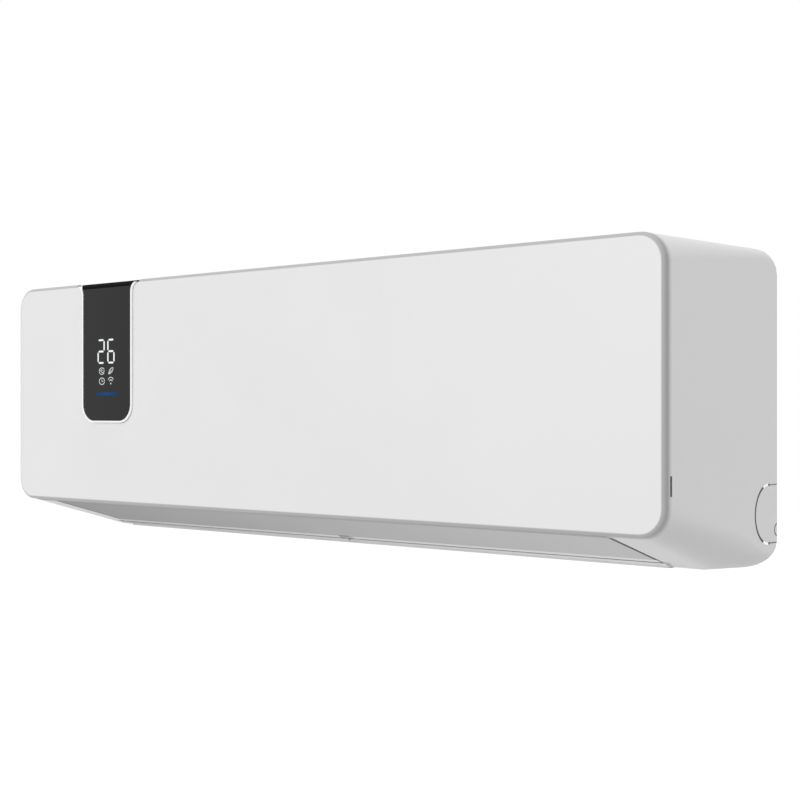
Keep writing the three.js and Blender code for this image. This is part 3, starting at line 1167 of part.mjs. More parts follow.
function casingScrew(side) {
  const front = CASING_FRONT - SEAT_GAP;
  const middle = [side * SCREW_X, SCREW_Z];
  const [radius, tall] = SCREW_HEAD;
  const head = rodY(radius, front - tall, front, middle, 16);
  return head.add(rodY(SCREW_RADIUS, front - 0.5, CASING_INSIDE + SCREW_LONG, middle, 12));
}

function bentPipe(points, radius, steps) {
  const stations = points.map((point) => new THREE.Vector3(...point));
  const path = new THREE.CatmullRomCurve3(stations, false, 'catmullrom', PIPE_TENSION);
  const ring = Array.from({ length: PIPE_SIDES }, (_, i) => {
    const angle = 2 * Math.PI * i / PIPE_SIDES;
    return [radius * Math.cos(angle), radius * Math.sin(angle)];
  });
  return toSolid(new THREE.ExtrudeGeometry(outline(ring), { steps, extrudePath: path, bevelEnabled: false }));
}

function pipeStart(port) {
  const { at } = alongSection(coilSections().rear, port);
  return [COIL_RIGHT + TUBE_SHEET + SEAT_GAP * 2, ...at];
}

function gasPipe() {
  const [x, y, z] = [GAS_DROP_X, PIPE_RUN_DEPTH, GAS_RUN_HEIGHT];
  const [x0, y0, z0] = pipeStart(GAS_PORT);
  return bentPipe([
    [x0, y0, z0], [x0 + 3, y0, z0], [x0 + 9, y0, z0], [x - 8, y0 + 5, z0 - 3], [x - 2, y0 + 16, z0 - 13],
    [x, y - 2, z0 - 28], [x, y, z0 - 42], [x, y, z + 24], [x - 4, y, z + 8], [x - 18, y, z], [x - 50, y, z],
    [PIPE_MIDDLE_X, y, z], [GAS_END_X, y, z],
  ], GAS_PIPE_RADIUS, 40);
}

function liquidPipe() {
  const [x, y, z] = [LIQUID_DROP_X, PIPE_RUN_DEPTH, LIQUID_RUN_HEIGHT];
  const [x0, y0, z0] = pipeStart(LIQUID_PORT);
  return bentPipe([
    [x0, y0, z0], [x0 + 3, y0, z0], [x0 + 10, y0, z0 - 1], [x0 + 17, y0, z0 - 9], [x - 12, y0 + 3, z0 - 15],
    [x - 2, y0 + 14, z0 - 21], [x, y, z0 - 32], [x, y, z0 - 60], [x, y, z + 20], [x - 4, y, z + 6],
    [x - 16, y, z], [x - 60, y, z], [PIPE_MIDDLE_X, y, z], [LIQUID_END_X, y, z],
  ], LIQUID_PIPE_RADIUS, 44);
}

function flareNut(endX, height, bore, across) {
  const [x0, x1] = [endX - NUT_LONG[0], endX + NUT_LONG[1]];
  const middle = [PIPE_RUN_DEPTH, height];
  const nut = rodX(across / 2, x0, x1, middle, 6);
  return nut.subtract(rodX(bore + SEAT_GAP, x0 - PAST, x1 + PAST, middle, 20));
}

function fanBearing() {
  const [x0, x1] = [SCROLL_LEFT, SCROLL_LEFT + BEARING_LONG];
  const sleeve = rodX(BEARING_RADIUS - SEAT_GAP, x0, x1, FAN_AXIS, 24);
  return sleeve.subtract(rodX(SHAFT_RADIUS + SEAT_GAP, x0 - PAST, x1 + PAST, FAN_AXIS, 20));
}

// ---------- assembly ----------
const shell = casingShell();
addPiece('wall_plate', wallPlate(), 'steel');
addPiece('rear_chassis', rearChassis(), 'greyWhite');
addPiece('front_casing', frontCasing(shell), 'white');
addPiece('pipe_cover_left', pipeCover(shell, -1), 'white');
addPiece('pipe_cover_right', pipeCover(shell, 1), 'white');
addPiece('top_grille', topGrille(), 'white');
addPiece('filter_guide', filterGuide(), 'greyWhite');
addPiece('dust_filter_left', dustFilter(-1), 'blue');
addPiece('dust_filter_right', dustFilter(1), 'blue');
addPiece('front_panel', frontPanel(), 'white');
for (const [name, side] of [['left', -1], ['right', 1]]) {
  const [x0, x1] = [side * PANEL_ARM_X - PANEL_PIN_LENGTH / 2, side * PANEL_ARM_X + PANEL_PIN_LENGTH / 2];
  addPiece(`panel_hinge_pin_${name}`, rodX(PANEL_PIN_RADIUS, x0, x1, PANEL_PIVOT, 12), 'steel');
}
addPiece('display_ring', displayRing(), 'white');
addPiece('display_glass', displayGlass(), 'glass');
addPiece('display_housing', displayHousing(), 'dark');
addPiece('display_board', displayBoard(), 'board');
addPiece('outlet_frame', outletFrame(), 'greyWhite');
addPiece('horizontal_flap', horizontalFlap(), 'white');
addPiece('flap_centre_bracket', centreBracket(), 'white');
addPiece('flap_motor', flapMotor(), 'dark');
addPiece('flap_pivot_pin_left', flapPin(-1), 'steel');
addPiece('flap_drive_shaft', flapPin(1), 'steel');
for (const [name, side] of [['left', -1], ['right', 1]]) {
  vaneXs(side).forEach((x, i) => addPiece(`vertical_vane_${name}_${i + 1}`, verticalVane(x), 'greyWhite'));
  addPiece(`vane_link_${name}`, linkBar(side), 'greyWhite');
}
addPiece('cross_flow_fan', crossFlowFan(), 'dark');
addPiece('fan_bearing', fanBearing(), 'rubber');
addPiece('fan_stub_shaft', rodX(SHAFT_RADIUS, SCROLL_LEFT + 1, FAN_LEFT + SHAFT_HOLD, FAN_AXIS, 20), 'steel');
const [shaftLeft, shaftRight] = [FAN_RIGHT - SHAFT_HOLD, MOTOR_LEFT + MOTOR_BORE - 2];
addPiece('motor_shaft', rodX(SHAFT_RADIUS, shaftLeft, shaftRight, FAN_AXIS, 20), 'steel');
addPiece('fan_motor', fanMotor(), 'steel');
addPiece('motor_clamp', motorClamp(), 'steel');
for (const [name, points] of Object.entries(coilSections())) {
  addPiece(`coil_${name}`, prismX(outline(points), COIL_LEFT, COIL_RIGHT), 'fin');
}
addPiece('tube_sheet_left', tubeSheet(COIL_LEFT - SEAT_GAP - TUBE_SHEET, COIL_LEFT - SEAT_GAP, []), 'steel');
const sheetX = COIL_RIGHT + SEAT_GAP;
addPiece('tube_sheet_right', tubeSheet(sheetX, sheetX + TUBE_SHEET, RETURN_BENDS), 'copper');
addPiece('gas_pipe', gasPipe(), 'copper');
addPiece('liquid_pipe', liquidPipe(), 'copper');
addPiece('gas_flare_nut', flareNut(GAS_END_X, GAS_RUN_HEIGHT, GAS_PIPE_RADIUS, GAS_NUT), 'brass');
const liquidNut = flareNut(LIQUID_END_X, LIQUID_RUN_HEIGHT, LIQUID_PIPE_RADIUS, LIQUID_NUT);
addPiece('liquid_flare_nut', liquidNut, 'brass');
addPiece('electrical_box', electricalBox(), 'dark');
addPiece('electrical_box_cover', boxCover(), 'dark');
addPiece('control_board', controlBoard(), 'board');
addPiece('terminal_block', terminalBlock(), 'dark');
addPiece('manual_button', pressButton(), 'white');
addPiece('button_switch', buttonSwitch(), 'dark');
addPiece('casing_screw_left', casingScrew(-1), 'steel');
addPiece('casing_screw_right', casingScrew(1), 'steel');

const unit = new THREE.Group();
unit.add(...pieces);
unit.position.set(0, -DEPTH, -MOUNT_HEIGHT);

export default unit;
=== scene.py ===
"""Indoor unit of a wall-hung split air conditioner: finishes, fine pieces and stage.

Lengths inside the drawing functions are millimetres along the unit (x, from its middle), behind
the front face (depth) and above the lowest line (height). place() turns them into the frame.
"""

import json
from math import cos, pi, radians, sin, sqrt

import bmesh
import bpy
from bpy.props import FloatProperty, FloatVectorProperty, PointerProperty
from bpy.types import Operator, Panel, PropertyGroup
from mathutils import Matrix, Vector
from mathutils.bvhtree import BVHTree

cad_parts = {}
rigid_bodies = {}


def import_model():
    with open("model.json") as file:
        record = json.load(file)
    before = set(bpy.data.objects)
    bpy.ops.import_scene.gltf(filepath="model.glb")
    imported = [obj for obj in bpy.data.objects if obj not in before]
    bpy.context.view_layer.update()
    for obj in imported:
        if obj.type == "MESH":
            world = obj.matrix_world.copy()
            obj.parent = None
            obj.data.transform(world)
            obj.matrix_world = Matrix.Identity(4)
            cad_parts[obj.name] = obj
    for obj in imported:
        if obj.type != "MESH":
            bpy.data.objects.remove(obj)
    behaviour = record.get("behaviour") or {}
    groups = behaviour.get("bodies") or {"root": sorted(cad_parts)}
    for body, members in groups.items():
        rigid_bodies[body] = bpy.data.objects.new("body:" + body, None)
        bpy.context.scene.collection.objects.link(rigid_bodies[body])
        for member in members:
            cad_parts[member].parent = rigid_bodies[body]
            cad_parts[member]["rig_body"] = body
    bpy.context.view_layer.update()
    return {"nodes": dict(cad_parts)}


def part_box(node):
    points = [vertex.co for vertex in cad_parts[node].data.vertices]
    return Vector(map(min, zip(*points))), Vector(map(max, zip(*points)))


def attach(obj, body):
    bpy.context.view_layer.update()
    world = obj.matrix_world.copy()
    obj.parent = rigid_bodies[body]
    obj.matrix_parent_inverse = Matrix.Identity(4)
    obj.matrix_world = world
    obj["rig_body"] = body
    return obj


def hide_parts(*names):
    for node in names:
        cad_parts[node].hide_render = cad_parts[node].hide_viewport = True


bl_info = {
    "name": "Wall-hung indoor unit",
    "version": (1, 0, 0),
    "blender": (4, 5, 0),
    "location": "View3D > Sidebar > Indoor unit",
    "description": "Builds the finishes, display and stage of a wall-hung indoor unit",
    "category": "Add Mesh",
}

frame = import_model()
PANEL_LOW, PANEL_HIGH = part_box("front_panel")
CASING_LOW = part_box("front_casing")[0]
GLASS_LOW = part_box("display_glass")[0]
MM = 0.001
UNIT_DEPTH = -PANEL_LOW.y  # front face to the wall
LOWEST = CASING_LOW.z
WELD = 2e-6  # corners closer than this are one
GAP_REACH = 1.7 * MM  # gaps narrower than this get painted shade


# ---------- settings ----------
class UnitSizes(PropertyGroup):
    """Sizes of the pieces that this file draws."""

    digit_height: FloatProperty(
        name="Digit height", description="Height of the display digits", default=0.0245, unit="LENGTH"
    )
    digit_width: FloatProperty(
        name="Digit width", description="Width of one display digit", default=0.0113, unit="LENGTH"
    )
    stroke: FloatProperty(
        name="Stroke", description="Width of the strokes of digits", default=0.0018, unit="LENGTH"
    )
    icon_size: FloatProperty(
        name="Icon size", description="Height of the display icons", default=0.0066, unit="LENGTH"
    )
    bar_length: FloatProperty(
        name="Bar length", description="Length of the light bar", default=0.0341, unit="LENGTH"
    )
    mesh_pitch: FloatProperty(
        name="Filter mesh pitch", description="Distance between filter threads", default=0.0011, unit="LENGTH"
    )


class UnitColours(PropertyGroup):
    """Colours of the finishes."""

    panel: FloatVectorProperty(
        name="Panel", description="Front panel moulding", default=(0.84, 0.84, 0.845), subtype="COLOR", size=3
    )
    # the rim's colour is partly its own grey and partly painted shade of the groove behind the panel's edge
    rim: FloatVectorProperty(
        name="Rim", description="Rim of the panel", default=(0.385, 0.385, 0.385), subtype="COLOR", size=3
    )
    casing: FloatVectorProperty(
        name="Casing", description="Casing moulding", default=(0.80, 0.80, 0.80), subtype="COLOR", size=3
    )
    # the flap's grey is painted shade on its white moulding
    flap: FloatVectorProperty(
        name="Flap", description="Outlet flap moulding", default=(0.49, 0.49, 0.49), subtype="COLOR", size=3
    )
    lamp: FloatVectorProperty(
        name="Digits", description="Light of the digits", default=(0.90, 0.93, 0.94), subtype="COLOR", size=3
    )
    bar: FloatVectorProperty(
        name="Bar", description="Light of the bar", default=(0.0116, 0.066, 0.205), subtype="COLOR", size=3
    )


# ---------- places and meshes ----------
def place(x, depth, height):
    """A point of the frame, in metres, from millimetres on the unit."""
    return Vector((x * MM, depth * MM - UNIT_DEPTH, height * MM + LOWEST))


def closed_plate(work, first, second):
    """A closed solid between two outlines with as many points each."""
    first, second = ([work.verts.new(point) for point in outline] for outline in (first, second))
    work.faces.new(first)
    work.faces.new(second[::-1])
    for i in range(len(first)):
        j = (i + 1) % len(first)
        work.faces.new((first[j], first[i], second[i], second[j]))


def piece_from(name, build, material, body):
    """A mesh object filled by build(bmesh), with its finish, riding on a body."""
    mesh = bpy.data.meshes.new(name)
    work = bmesh.new()
    build(work)
    bmesh.ops.recalc_face_normals(work, faces=work.faces)
    work.to_mesh(mesh)
    work.free()
    mesh.materials.append(material)
    piece = bpy.data.objects.new(name, mesh)
    bpy.context.scene.collection.objects.link(piece)
    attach(piece, body)
    return piece


def soften(piece, width=0.0, angle=40):
    """Rounds a piece's hard edges a little and shades the rest smoothly."""
    mesh = piece.data
    mesh.shade_smooth()
    mesh.set_sharp_from_angle(angle=radians(angle))
    if width:
        bevel = piece.modifiers.new("soft_edges", "BEVEL")
        bevel.width = width
        bevel.segments = 2
        bevel.limit_method = "ANGLE"
        bevel.angle_limit = radians(angle)
        bevel.harden_normals = False
    weighted = piece.modifiers.new("even_shading", "WEIGHTED_NORMAL")
    weighted.keep_sharp = True
    return piece


def dressed(node, material, width=0.0, angle=40):
    """The node's own shape as a finished piece that stands for it, with edges rounded by width."""
    source = frame["nodes"][node]
    mesh = source.data.copy()
    mesh.name = f"{node}_finished"
    work = bmesh.new()
    work.from_mesh(mesh)
    bmesh.ops.remove_doubles(work, verts=work.verts, dist=WELD)
    bmesh.ops.dissolve_limit(work, angle_limit=radians(0.4), verts=work.verts, edges=work.edges)
    work.to_mesh(mesh)
    work.free()
    mesh.materials.clear()
    mesh.materials.append(material)
    piece = bpy.data.objects.new(mesh.name, mesh)
    bpy.context.scene.collection.objects.link(piece)
    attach(piece, source["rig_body"])
    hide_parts(node)
    return soften(piece, width, angle)


def shade_gaps(pieces, material, facing=0.0):
    """Paints shade on the walls of narrow gaps in and between the pieces, if they face along x enough."""
    trees = []
    for piece in pieces:
        corners = [corner.co for corner in piece.data.vertices]
        trees.append(BVHTree.FromPolygons(corners, [face.vertices[:] for face in piece.data.polygons]))
    for piece in pieces:
        piece.data.materials.append(material)
        index = len(piece.data.materials) - 1
        for face in piece.data.polygons:
            if abs(face.normal.x) < facing:
                continue
            start = face.center + face.normal * 0.05 * MM
            if any(tree.ray_cast(start, face.normal, GAP_REACH)[0] is not None for tree in trees):
                face.material_index = index


# ---------- finishes ----------
RIM_SHADE_DEPTHS = (0.02, 0.16, 3.36)  # panel's grey rim with painted shade deepening towards the groove: depths where it starts, is pale and is full
RIM_SHADE_PALE = 1.3  # how much paler the painted rim shade starts
GROOVE_SHADE_DEPTHS = (1.0, 4.0)  # painted shade in the groove behind the panel: depths from the casing's front where it starts and ends
GROOVE_SHADE = 0.82
UNDER_SHADOW_DEPTHS = (4.2, 4.7)  # painted shadow below the panel: depths where it ends,
UNDER_SHADOW_TOP = (32.4, 33.6)  # heights where it ends
UNDER_SHADOW_SIDE = (334.0, 342.0)  # and places along the unit where it ends
UNDER_SHADOW = 0.44
FOLD_SHADE = 0.11  # how much darker the painted shade makes the folds of the casing's underside
FLAP_SPAN = (-340.0, 300.0)  # the flap's painted shade changes between these places along the unit
FLAP_SHADES = (0.40, 1.19)  # its painted shades there,
FLAP_EDGE_HIGHLIGHTS = (1.1, 2.0)  # painted highlight behind its seam
ROLL_HIGHLIGHTS = (1.0, 1.75)  # and the painted highlight of its roll


def new_group(name, inputs, outputs):
    """An empty shader node group with named sockets."""
    group = bpy.data.node_groups.new(name, "ShaderNodeTree")
    for label, kind, default in inputs:
        socket = group.interface.new_socket(name=label, in_out="INPUT", socket_type=kind)
        socket.default_value = default
    for label, kind in outputs:
        group.interface.new_socket(name=label, in_out="OUTPUT", socket_type=kind)
    return group, group.nodes.new("NodeGroupInput"), group.nodes.new("NodeGroupOutput")


def math_node(tree, operation, first, second=None, clamp=False):
    """A Math node whose inputs are sockets or plain numbers; gives its output."""
    node = tree.nodes.new("ShaderNodeMath")
    node.operation = operation
    node.use_clamp = clamp
    for socket, value in zip(node.inputs, (first, second)):
        if value is None:
            continue
        if isinstance(value, (int, float)):
            socket.default_value = value
        else:
            tree.links.new(value, socket)
    return node.outputs[0]


def noise(tree, scale, detail=2.0, vector=None):
    """A Noise Texture on object coordinates; gives its factor."""
    if vector is None:
        vector = tree.nodes.new("ShaderNodeTexCoord").outputs["Object"]
    node = tree.nodes.new("ShaderNodeTexNoise")
    node.inputs["Detail"].default_value = detail
    if isinstance(scale, (int, float)):
        node.inputs["Scale"].default_value = scale
    else:
        tree.links.new(scale, node.inputs["Scale"])
    tree.links.new(vector, node.inputs["Vector"])
    return node.outputs["Fac"]


def moulded_group():
    """Fine texture of a moulding: a height for bump, a roughness and a tint factor."""
    if "Moulded surface" in bpy.data.node_groups:
        return bpy.data.node_groups["Moulded surface"]
    tree, given, out = new_group(
        "Moulded surface",
        [
            ("Grain", "NodeSocketFloat", 900.0),
            ("Roughness", "NodeSocketFloat", 0.35),
            ("Spread", "NodeSocketFloat", 0.05),
        ],
        [("Height", "NodeSocketFloat"), ("Roughness", "NodeSocketFloat"), ("Tint", "NodeSocketFloat")],
    )
    fine = noise(tree, given.outputs["Grain"], 3.0)
    broad = noise(tree, 14.0, 1.0)
    tree.links.new(fine, out.inputs["Height"])
    swing = math_node(tree, "MULTIPLY", math_node(tree, "SUBTRACT", broad, 0.5), given.outputs["Spread"])
    rough = math_node(tree, "ADD", given.outputs["Roughness"], swing, clamp=True)
    tree.links.new(rough, out.inputs["Roughness"])
    small = math_node(tree, "MULTIPLY", math_node(tree, "SUBTRACT", broad, 0.5), 0.03)
    tree.links.new(math_node(tree, "ADD", 1.0, small), out.inputs["Tint"])
    return tree


def dust_group():
    """Light dust on upward faces, patchy: a mask."""
    if "Settled dust" in bpy.data.node_groups:
        return bpy.data.node_groups["Settled dust"]
    tree, given, out = new_group(
        "Settled dust", [("Amount", "NodeSocketFloat", 0.2)], [("Mask", "NodeSocketFloat")]
    )
    normal = tree.nodes.new("ShaderNodeNewGeometry").outputs["Normal"]
    split = tree.nodes.new("ShaderNodeSeparateXYZ")
    tree.links.new(normal, split.inputs[0])
    up = math_node(tree, "MAXIMUM", split.outputs["Z"], 0.0)
    patches = math_node(tree, "MULTIPLY", up, noise(tree, 60.0, 4.0))
    mask = math_node(tree, "MULTIPLY", patches, given.outputs["Amount"], clamp=True)
    tree.links.new(mask, out.inputs["Mask"])
    return tree


def plain_material(name):
    """A new node material: its tree and its Principled shader."""
    material = bpy.data.materials.new(name)
    material.use_nodes = True
    tree = material.node_tree
    return material, tree, tree.nodes["Principled BSDF"]


def scaled_colour(tree, colour, factor):
    """A colour, given as numbers or a socket, times a factor socket."""
    node = tree.nodes.new("ShaderNodeMix")
    node.data_type = "RGBA"
    node.blend_type = "MULTIPLY"
    node.inputs["Factor"].default_value = 1.0
    if isinstance(colour, bpy.types.NodeSocket):
        tree.links.new(colour, node.inputs["A"])
    else:
        node.inputs["A"].default_value = (*colour, 1.0)
    tree.links.new(factor, node.inputs["B"])
    return node.outputs["Result"]


def mixed_colour(tree, mask, first, second):
    """Two colours mixed by a mask socket."""
    node = tree.nodes.new("ShaderNodeMix")
    node.data_type = "RGBA"
    tree.links.new(mask, node.inputs["Factor"])
    for label, colour in (("A", first), ("B", second)):
        if isinstance(colour, bpy.types.NodeSocket):
            tree.links.new(colour, node.inputs[label])
        else:
            node.inputs[label].default_value = (*colour, 1.0)
    return node.outputs["Result"]


def times(colour, factor):
    """A colour's numbers times a factor."""
    return tuple(part * factor for part in colour)


def along(tree, axis, start, end):
    """How far a point lies between two places along an object axis, from 0 to 1."""
    coordinates = tree.nodes.new("ShaderNodeTexCoord")
    split = tree.nodes.new("ShaderNodeSeparateXYZ")
    tree.links.new(coordinates.outputs["Object"], split.inputs[0])
    reach = tree.nodes.new("ShaderNodeMapRange")
    reach.inputs["From Min"].default_value = start
    reach.inputs["From Max"].default_value = end
    tree.links.new(split.outputs[axis], reach.inputs["Value"])
    return reach.outputs["Result"]


def painted_fold_shade(tree, fall):
    """A factor of painted shade that falls from 1 where a face turns halfway from the side to the underside.
    """
    geometry = tree.nodes.new("ShaderNodeNewGeometry")
    split = tree.nodes.new("ShaderNodeSeparateXYZ")
    tree.links.new(geometry.outputs["Normal"], split.inputs[0])
    sideways = math_node(tree, "ABSOLUTE", split.outputs["X"])
    down = math_node(tree, "MULTIPLY", split.outputs["Z"], -2.0)
    fold = math_node(tree, "MULTIPLY", sideways, down, clamp=True)
    return math_node(tree, "SUBTRACT", 1.0, math_node(tree, "MULTIPLY", fold, fall))


def moulded(name, colour, roughness=0.35, grain=900.0, bump=0.02, dust=0.0, metallic=0.0, spread=0.06,
             gloss=0.5):
    """A moulded or cast finish; its colour may be a function of the tree."""
    material, tree, shader = plain_material(name)
    surface = tree.nodes.new("ShaderNodeGroup")
    surface.node_tree = moulded_group()
    surface.inputs["Grain"].default_value = grain
    surface.inputs["Roughness"].default_value = roughness
    surface.inputs["Spread"].default_value = spread
    base = colour(tree) if callable(colour) else tuple(colour)
    tinted = scaled_colour(tree, base, surface.outputs["Tint"])
    if dust:
        settled = tree.nodes.new("ShaderNodeGroup")
        settled.node_tree = dust_group()
        settled.inputs["Amount"].default_value = dust
        tinted = mixed_colour(tree, settled.outputs["Mask"], tinted, (0.42, 0.40, 0.37))
    tree.links.new(tinted, shader.inputs["Base Color"])
    tree.links.new(surface.outputs["Roughness"], shader.inputs["Roughness"])
    shader.inputs["Metallic"].default_value = metallic
    shader.inputs["Specular IOR Level"].default_value = gloss
    rise = tree.nodes.new("ShaderNodeBump")
    rise.inputs["Strength"].default_value = bump
    rise.inputs["Distance"].default_value = 0.0004
    tree.links.new(surface.outputs["Height"], rise.inputs["Height"])
    tree.links.new(rise.outputs["Normal"], shader.inputs["Normal"])
    return material


def panel_colour(white, rim):
    """White face turning into the grey rim round the panel's edge, its own grey with painted shade that
    darkens it towards the groove behind.
    """
    def build(tree):
        start, pale, full = (PANEL_LOW.y + depth * MM for depth in RIM_SHADE_DEPTHS)
        edge = mixed_colour(tree, along(tree, "Y", pale, full), times(rim, RIM_SHADE_PALE), tuple(rim))
        return mixed_colour(tree, along(tree, "Y", start, pale), tuple(white), edge)
    return build


def casing_colour(white):
    """The casing, with painted shade at its lower folds and in the groove behind the panel, and most of all a
    painted shadow below the panel.
    """
    def build(tree):
        in_groove = along(tree, "Y", *(CASING_LOW.y + depth * MM for depth in GROOVE_SHADE_DEPTHS))
        past_side = along(tree, "X", *(x * MM for x in UNDER_SHADOW_SIDE))
        behind = along(tree, "Y", *(CASING_LOW.y + depth * MM for depth in UNDER_SHADOW_DEPTHS))
        above = along(tree, "Z", *(LOWEST + height * MM for height in UNDER_SHADOW_TOP))
        # painted shade in the groove, a painted shadow under the panel and painted shade on the folds
        groove = mixed_colour(tree, in_groove, times(white, GROOVE_SHADE), tuple(white))
        shadow = mixed_colour(tree, past_side, times(white, UNDER_SHADOW), groove)
        under = mixed_colour(tree, behind, shadow, tuple(white))
        return scaled_colour(tree, mixed_colour(tree, above, under, groove), painted_fold_shade(tree, FOLD_SHADE))
    return build


def flap_colour(colour, shades):
    """The flap's colour with painted light, darker towards its left end."""
    def build(tree):
        left, right = (times(colour, shade) for shade in shades)
        return mixed_colour(tree, along(tree, "X", *(x * MM for x in FLAP_SPAN)), left, right)
    return build


def highlighted_flap(colour):
    """The flap, with a painted highlight: a paler strip behind its seam."""
    def build(tree):
        rear = place(0, SEAM[1], 0).y
        plate = flap_colour(colour, FLAP_SHADES)(tree)
        edge = flap_colour(colour, FLAP_EDGE_HIGHLIGHTS)(tree)
        return mixed_colour(tree, along(tree, "Y", rear - 0.2 * MM, rear), plate, edge)
    return build


def finned_metal(name):
    """Aluminium fin edges seen end on, with painted shade in the fine upright gaps between them."""
    material, tree, shader = plain_material(name)
    coordinates = tree.nodes.new("ShaderNodeTexCoord")
    wave = tree.nodes.new("ShaderNodeTexWave")
    wave.bands_direction = "X"
    wave.inputs["Scale"].default_value = 190.0
    wave.inputs["Distortion"].default_value = 0.15
    tree.links.new(coordinates.outputs["Object"], wave.inputs["Vector"])
    fin_gap_shade = math_node(tree, "POWER", wave.outputs["Fac"], 0.6)
    edges = mixed_colour(tree, fin_gap_shade, (0.07, 0.08, 0.085), (0.66, 0.71, 0.73))
    tree.links.new(edges, shader.inputs["Base Color"])
    shader.inputs["Metallic"].default_value = 0.8
    rough = math_node(tree, "ADD", math_node(tree, "MULTIPLY", noise(tree, 40.0), 0.15), 0.3)
    tree.links.new(rough, shader.inputs["Roughness"])
    rise = tree.nodes.new("ShaderNodeBump")
    rise.inputs["Strength"].default_value = 0.6
    rise.inputs["Distance"].default_value = 0.0006
    tree.links.new(wave.outputs["Fac"], rise.inputs["Height"])
    tree.links.new(rise.outputs["Normal"], shader.inputs["Normal"])
    return material


def smoked_glass(name):
    """Dark polished acrylic."""
    material, tree, shader = plain_material(name)
    shade = math_node(tree, "MULTIPLY", noise(tree, 6.0, 0.0), 0.3)
    smoke = mixed_colour(tree, shade, (0.002, 0.002, 0.0022), (0.004, 0.004, 0.0045))
    tree.links.new(smoke, shader.inputs["Base Color"])
    shader.inputs["Specular IOR Level"].default_value = 0.30
    rough = math_node(tree, "ADD", math_node(tree, "MULTIPLY", noise(tree, 30.0), 0.03), 0.04)
    tree.links.new(rough, shader.inputs["Roughness"])
    return material


def matt_black(name):
    """Matt black on the glass where it turns over the top edge: painted shade in place of the glass's
    reflection there.
    """
    material, tree, shader = plain_material(name)
    print_black = mixed_colour(tree, noise(tree, 8.0, 0.0), (0.003, 0.003, 0.003), (0.005, 0.005, 0.005))
    tree.links.new(print_black, shader.inputs["Base Color"])
    shader.inputs["Roughness"].default_value = 0.6
    shader.inputs["Specular IOR Level"].default_value = 0.03
    return material


def lamp(name, colour, strength, fade=None):
    """A lit mark behind the glass, brighter in the middle if fade gives its ends."""
    material, tree, shader = plain_material(name)
    if fade:
        middle, reach = fade
        rise = along(tree, "X", middle - reach, middle)
        fall = along(tree, "X", middle + reach, middle)
        both = math_node(tree, "MINIMUM", rise, fall)
        glow = mixed_colour(tree, both, times(colour, 0.8), times(colour, 1.15))
    else:
        flicker = math_node(tree, "MULTIPLY", noise(tree, 300.0), 0.06)
        glow = scaled_colour(tree, tuple(colour), math_node(tree, "ADD", flicker, 0.97))
    tree.links.new(glow, shader.inputs["Emission Color"])
    dim = scaled_colour(tree, glow, math_node(tree, "MULTIPLY", noise(tree, 50.0), 0.1))
    tree.links.new(dim, shader.inputs["Base Color"])
    shader.inputs["Emission Strength"].default_value = strength
    shader.inputs["Roughness"].default_value = 0.5
    shader.inputs["Specular IOR Level"].default_value = 0.0
    return material


def woven_mesh(name, pitch):
    """Fine square filter mesh: threads with clear gaps between them."""
    material, tree, shader = plain_material(name)
    coordinates = tree.nodes.new("ShaderNodeTexCoord")
    split = tree.nodes.new("ShaderNodeSeparateXYZ")
    tree.links.new(coordinates.outputs["Object"], split.inputs[0])
    threads = []
    for axis in ("X", "Z"):
        turn = math_node(tree, "MULTIPLY", split.outputs[axis], 2 * pi / pitch)
        threads.append(math_node(tree, "ABSOLUTE", math_node(tree, "SINE", turn)))
    low = math_node(tree, "MINIMUM", *threads)
    solid = math_node(tree, "LESS_THAN", low, 0.42)
    tree.links.new(solid, shader.inputs["Alpha"])
    blue = mixed_colour(tree, low, (0.13, 0.20, 0.30), (0.24, 0.33, 0.46))
    tree.links.new(blue, shader.inputs["Base Color"])
    shader.inputs["Roughness"].default_value = 0.6
    return material


def printed_board(name):
    """Green board with faint tracks."""
    material, tree, shader = plain_material(name)
    coordinates = tree.nodes.new("ShaderNodeTexCoord")
    brick = tree.nodes.new("ShaderNodeTexBrick")
    brick.inputs["Scale"].default_value = 130.0
    brick.inputs["Color1"].default_value = (0.012, 0.11, 0.045, 1)
    brick.inputs["Color2"].default_value = (0.016, 0.15, 0.06, 1)
    brick.inputs["Mortar"].default_value = (0.05, 0.22, 0.09, 1)
    tree.links.new(coordinates.outputs["Object"], brick.inputs["Vector"])
    tree.links.new(brick.outputs["Color"], shader.inputs["Base Color"])
    shader.inputs["Roughness"].default_value = 0.4
    return material


def brushed(name, colour, roughness, stretch=(4.0, 4.0, 160.0)):
    """Rolled or drawn metal with fine lines along one direction."""
    material, tree, shader = plain_material(name)
    coordinates = tree.nodes.new("ShaderNodeTexCoord")
    mapping = tree.nodes.new("ShaderNodeMapping")
    mapping.inputs["Scale"].default_value = stretch
    tree.links.new(coordinates.outputs["Object"], mapping.inputs["Vector"])
    lines = noise(tree, 12.0, 3.0, mapping.outputs["Vector"])
    tree.links.new(mixed_colour(tree, lines, times(colour, 0.8), tuple(colour)), shader.inputs["Base Color"])
    shader.inputs["Metallic"].default_value = 1.0
    rough = math_node(tree, "ADD", math_node(tree, "MULTIPLY", lines, 0.18), roughness - 0.09, clamp=True)
    tree.links.new(rough, shader.inputs["Roughness"])
    rise = tree.nodes.new("ShaderNodeBump")
    rise.inputs["Strength"].default_value = 0.08
    rise.inputs["Distance"].default_value = 0.0002
    tree.links.new(lines, rise.inputs["Height"])
    tree.links.new(rise.outputs["Normal"], shader.inputs["Normal"])
    return material


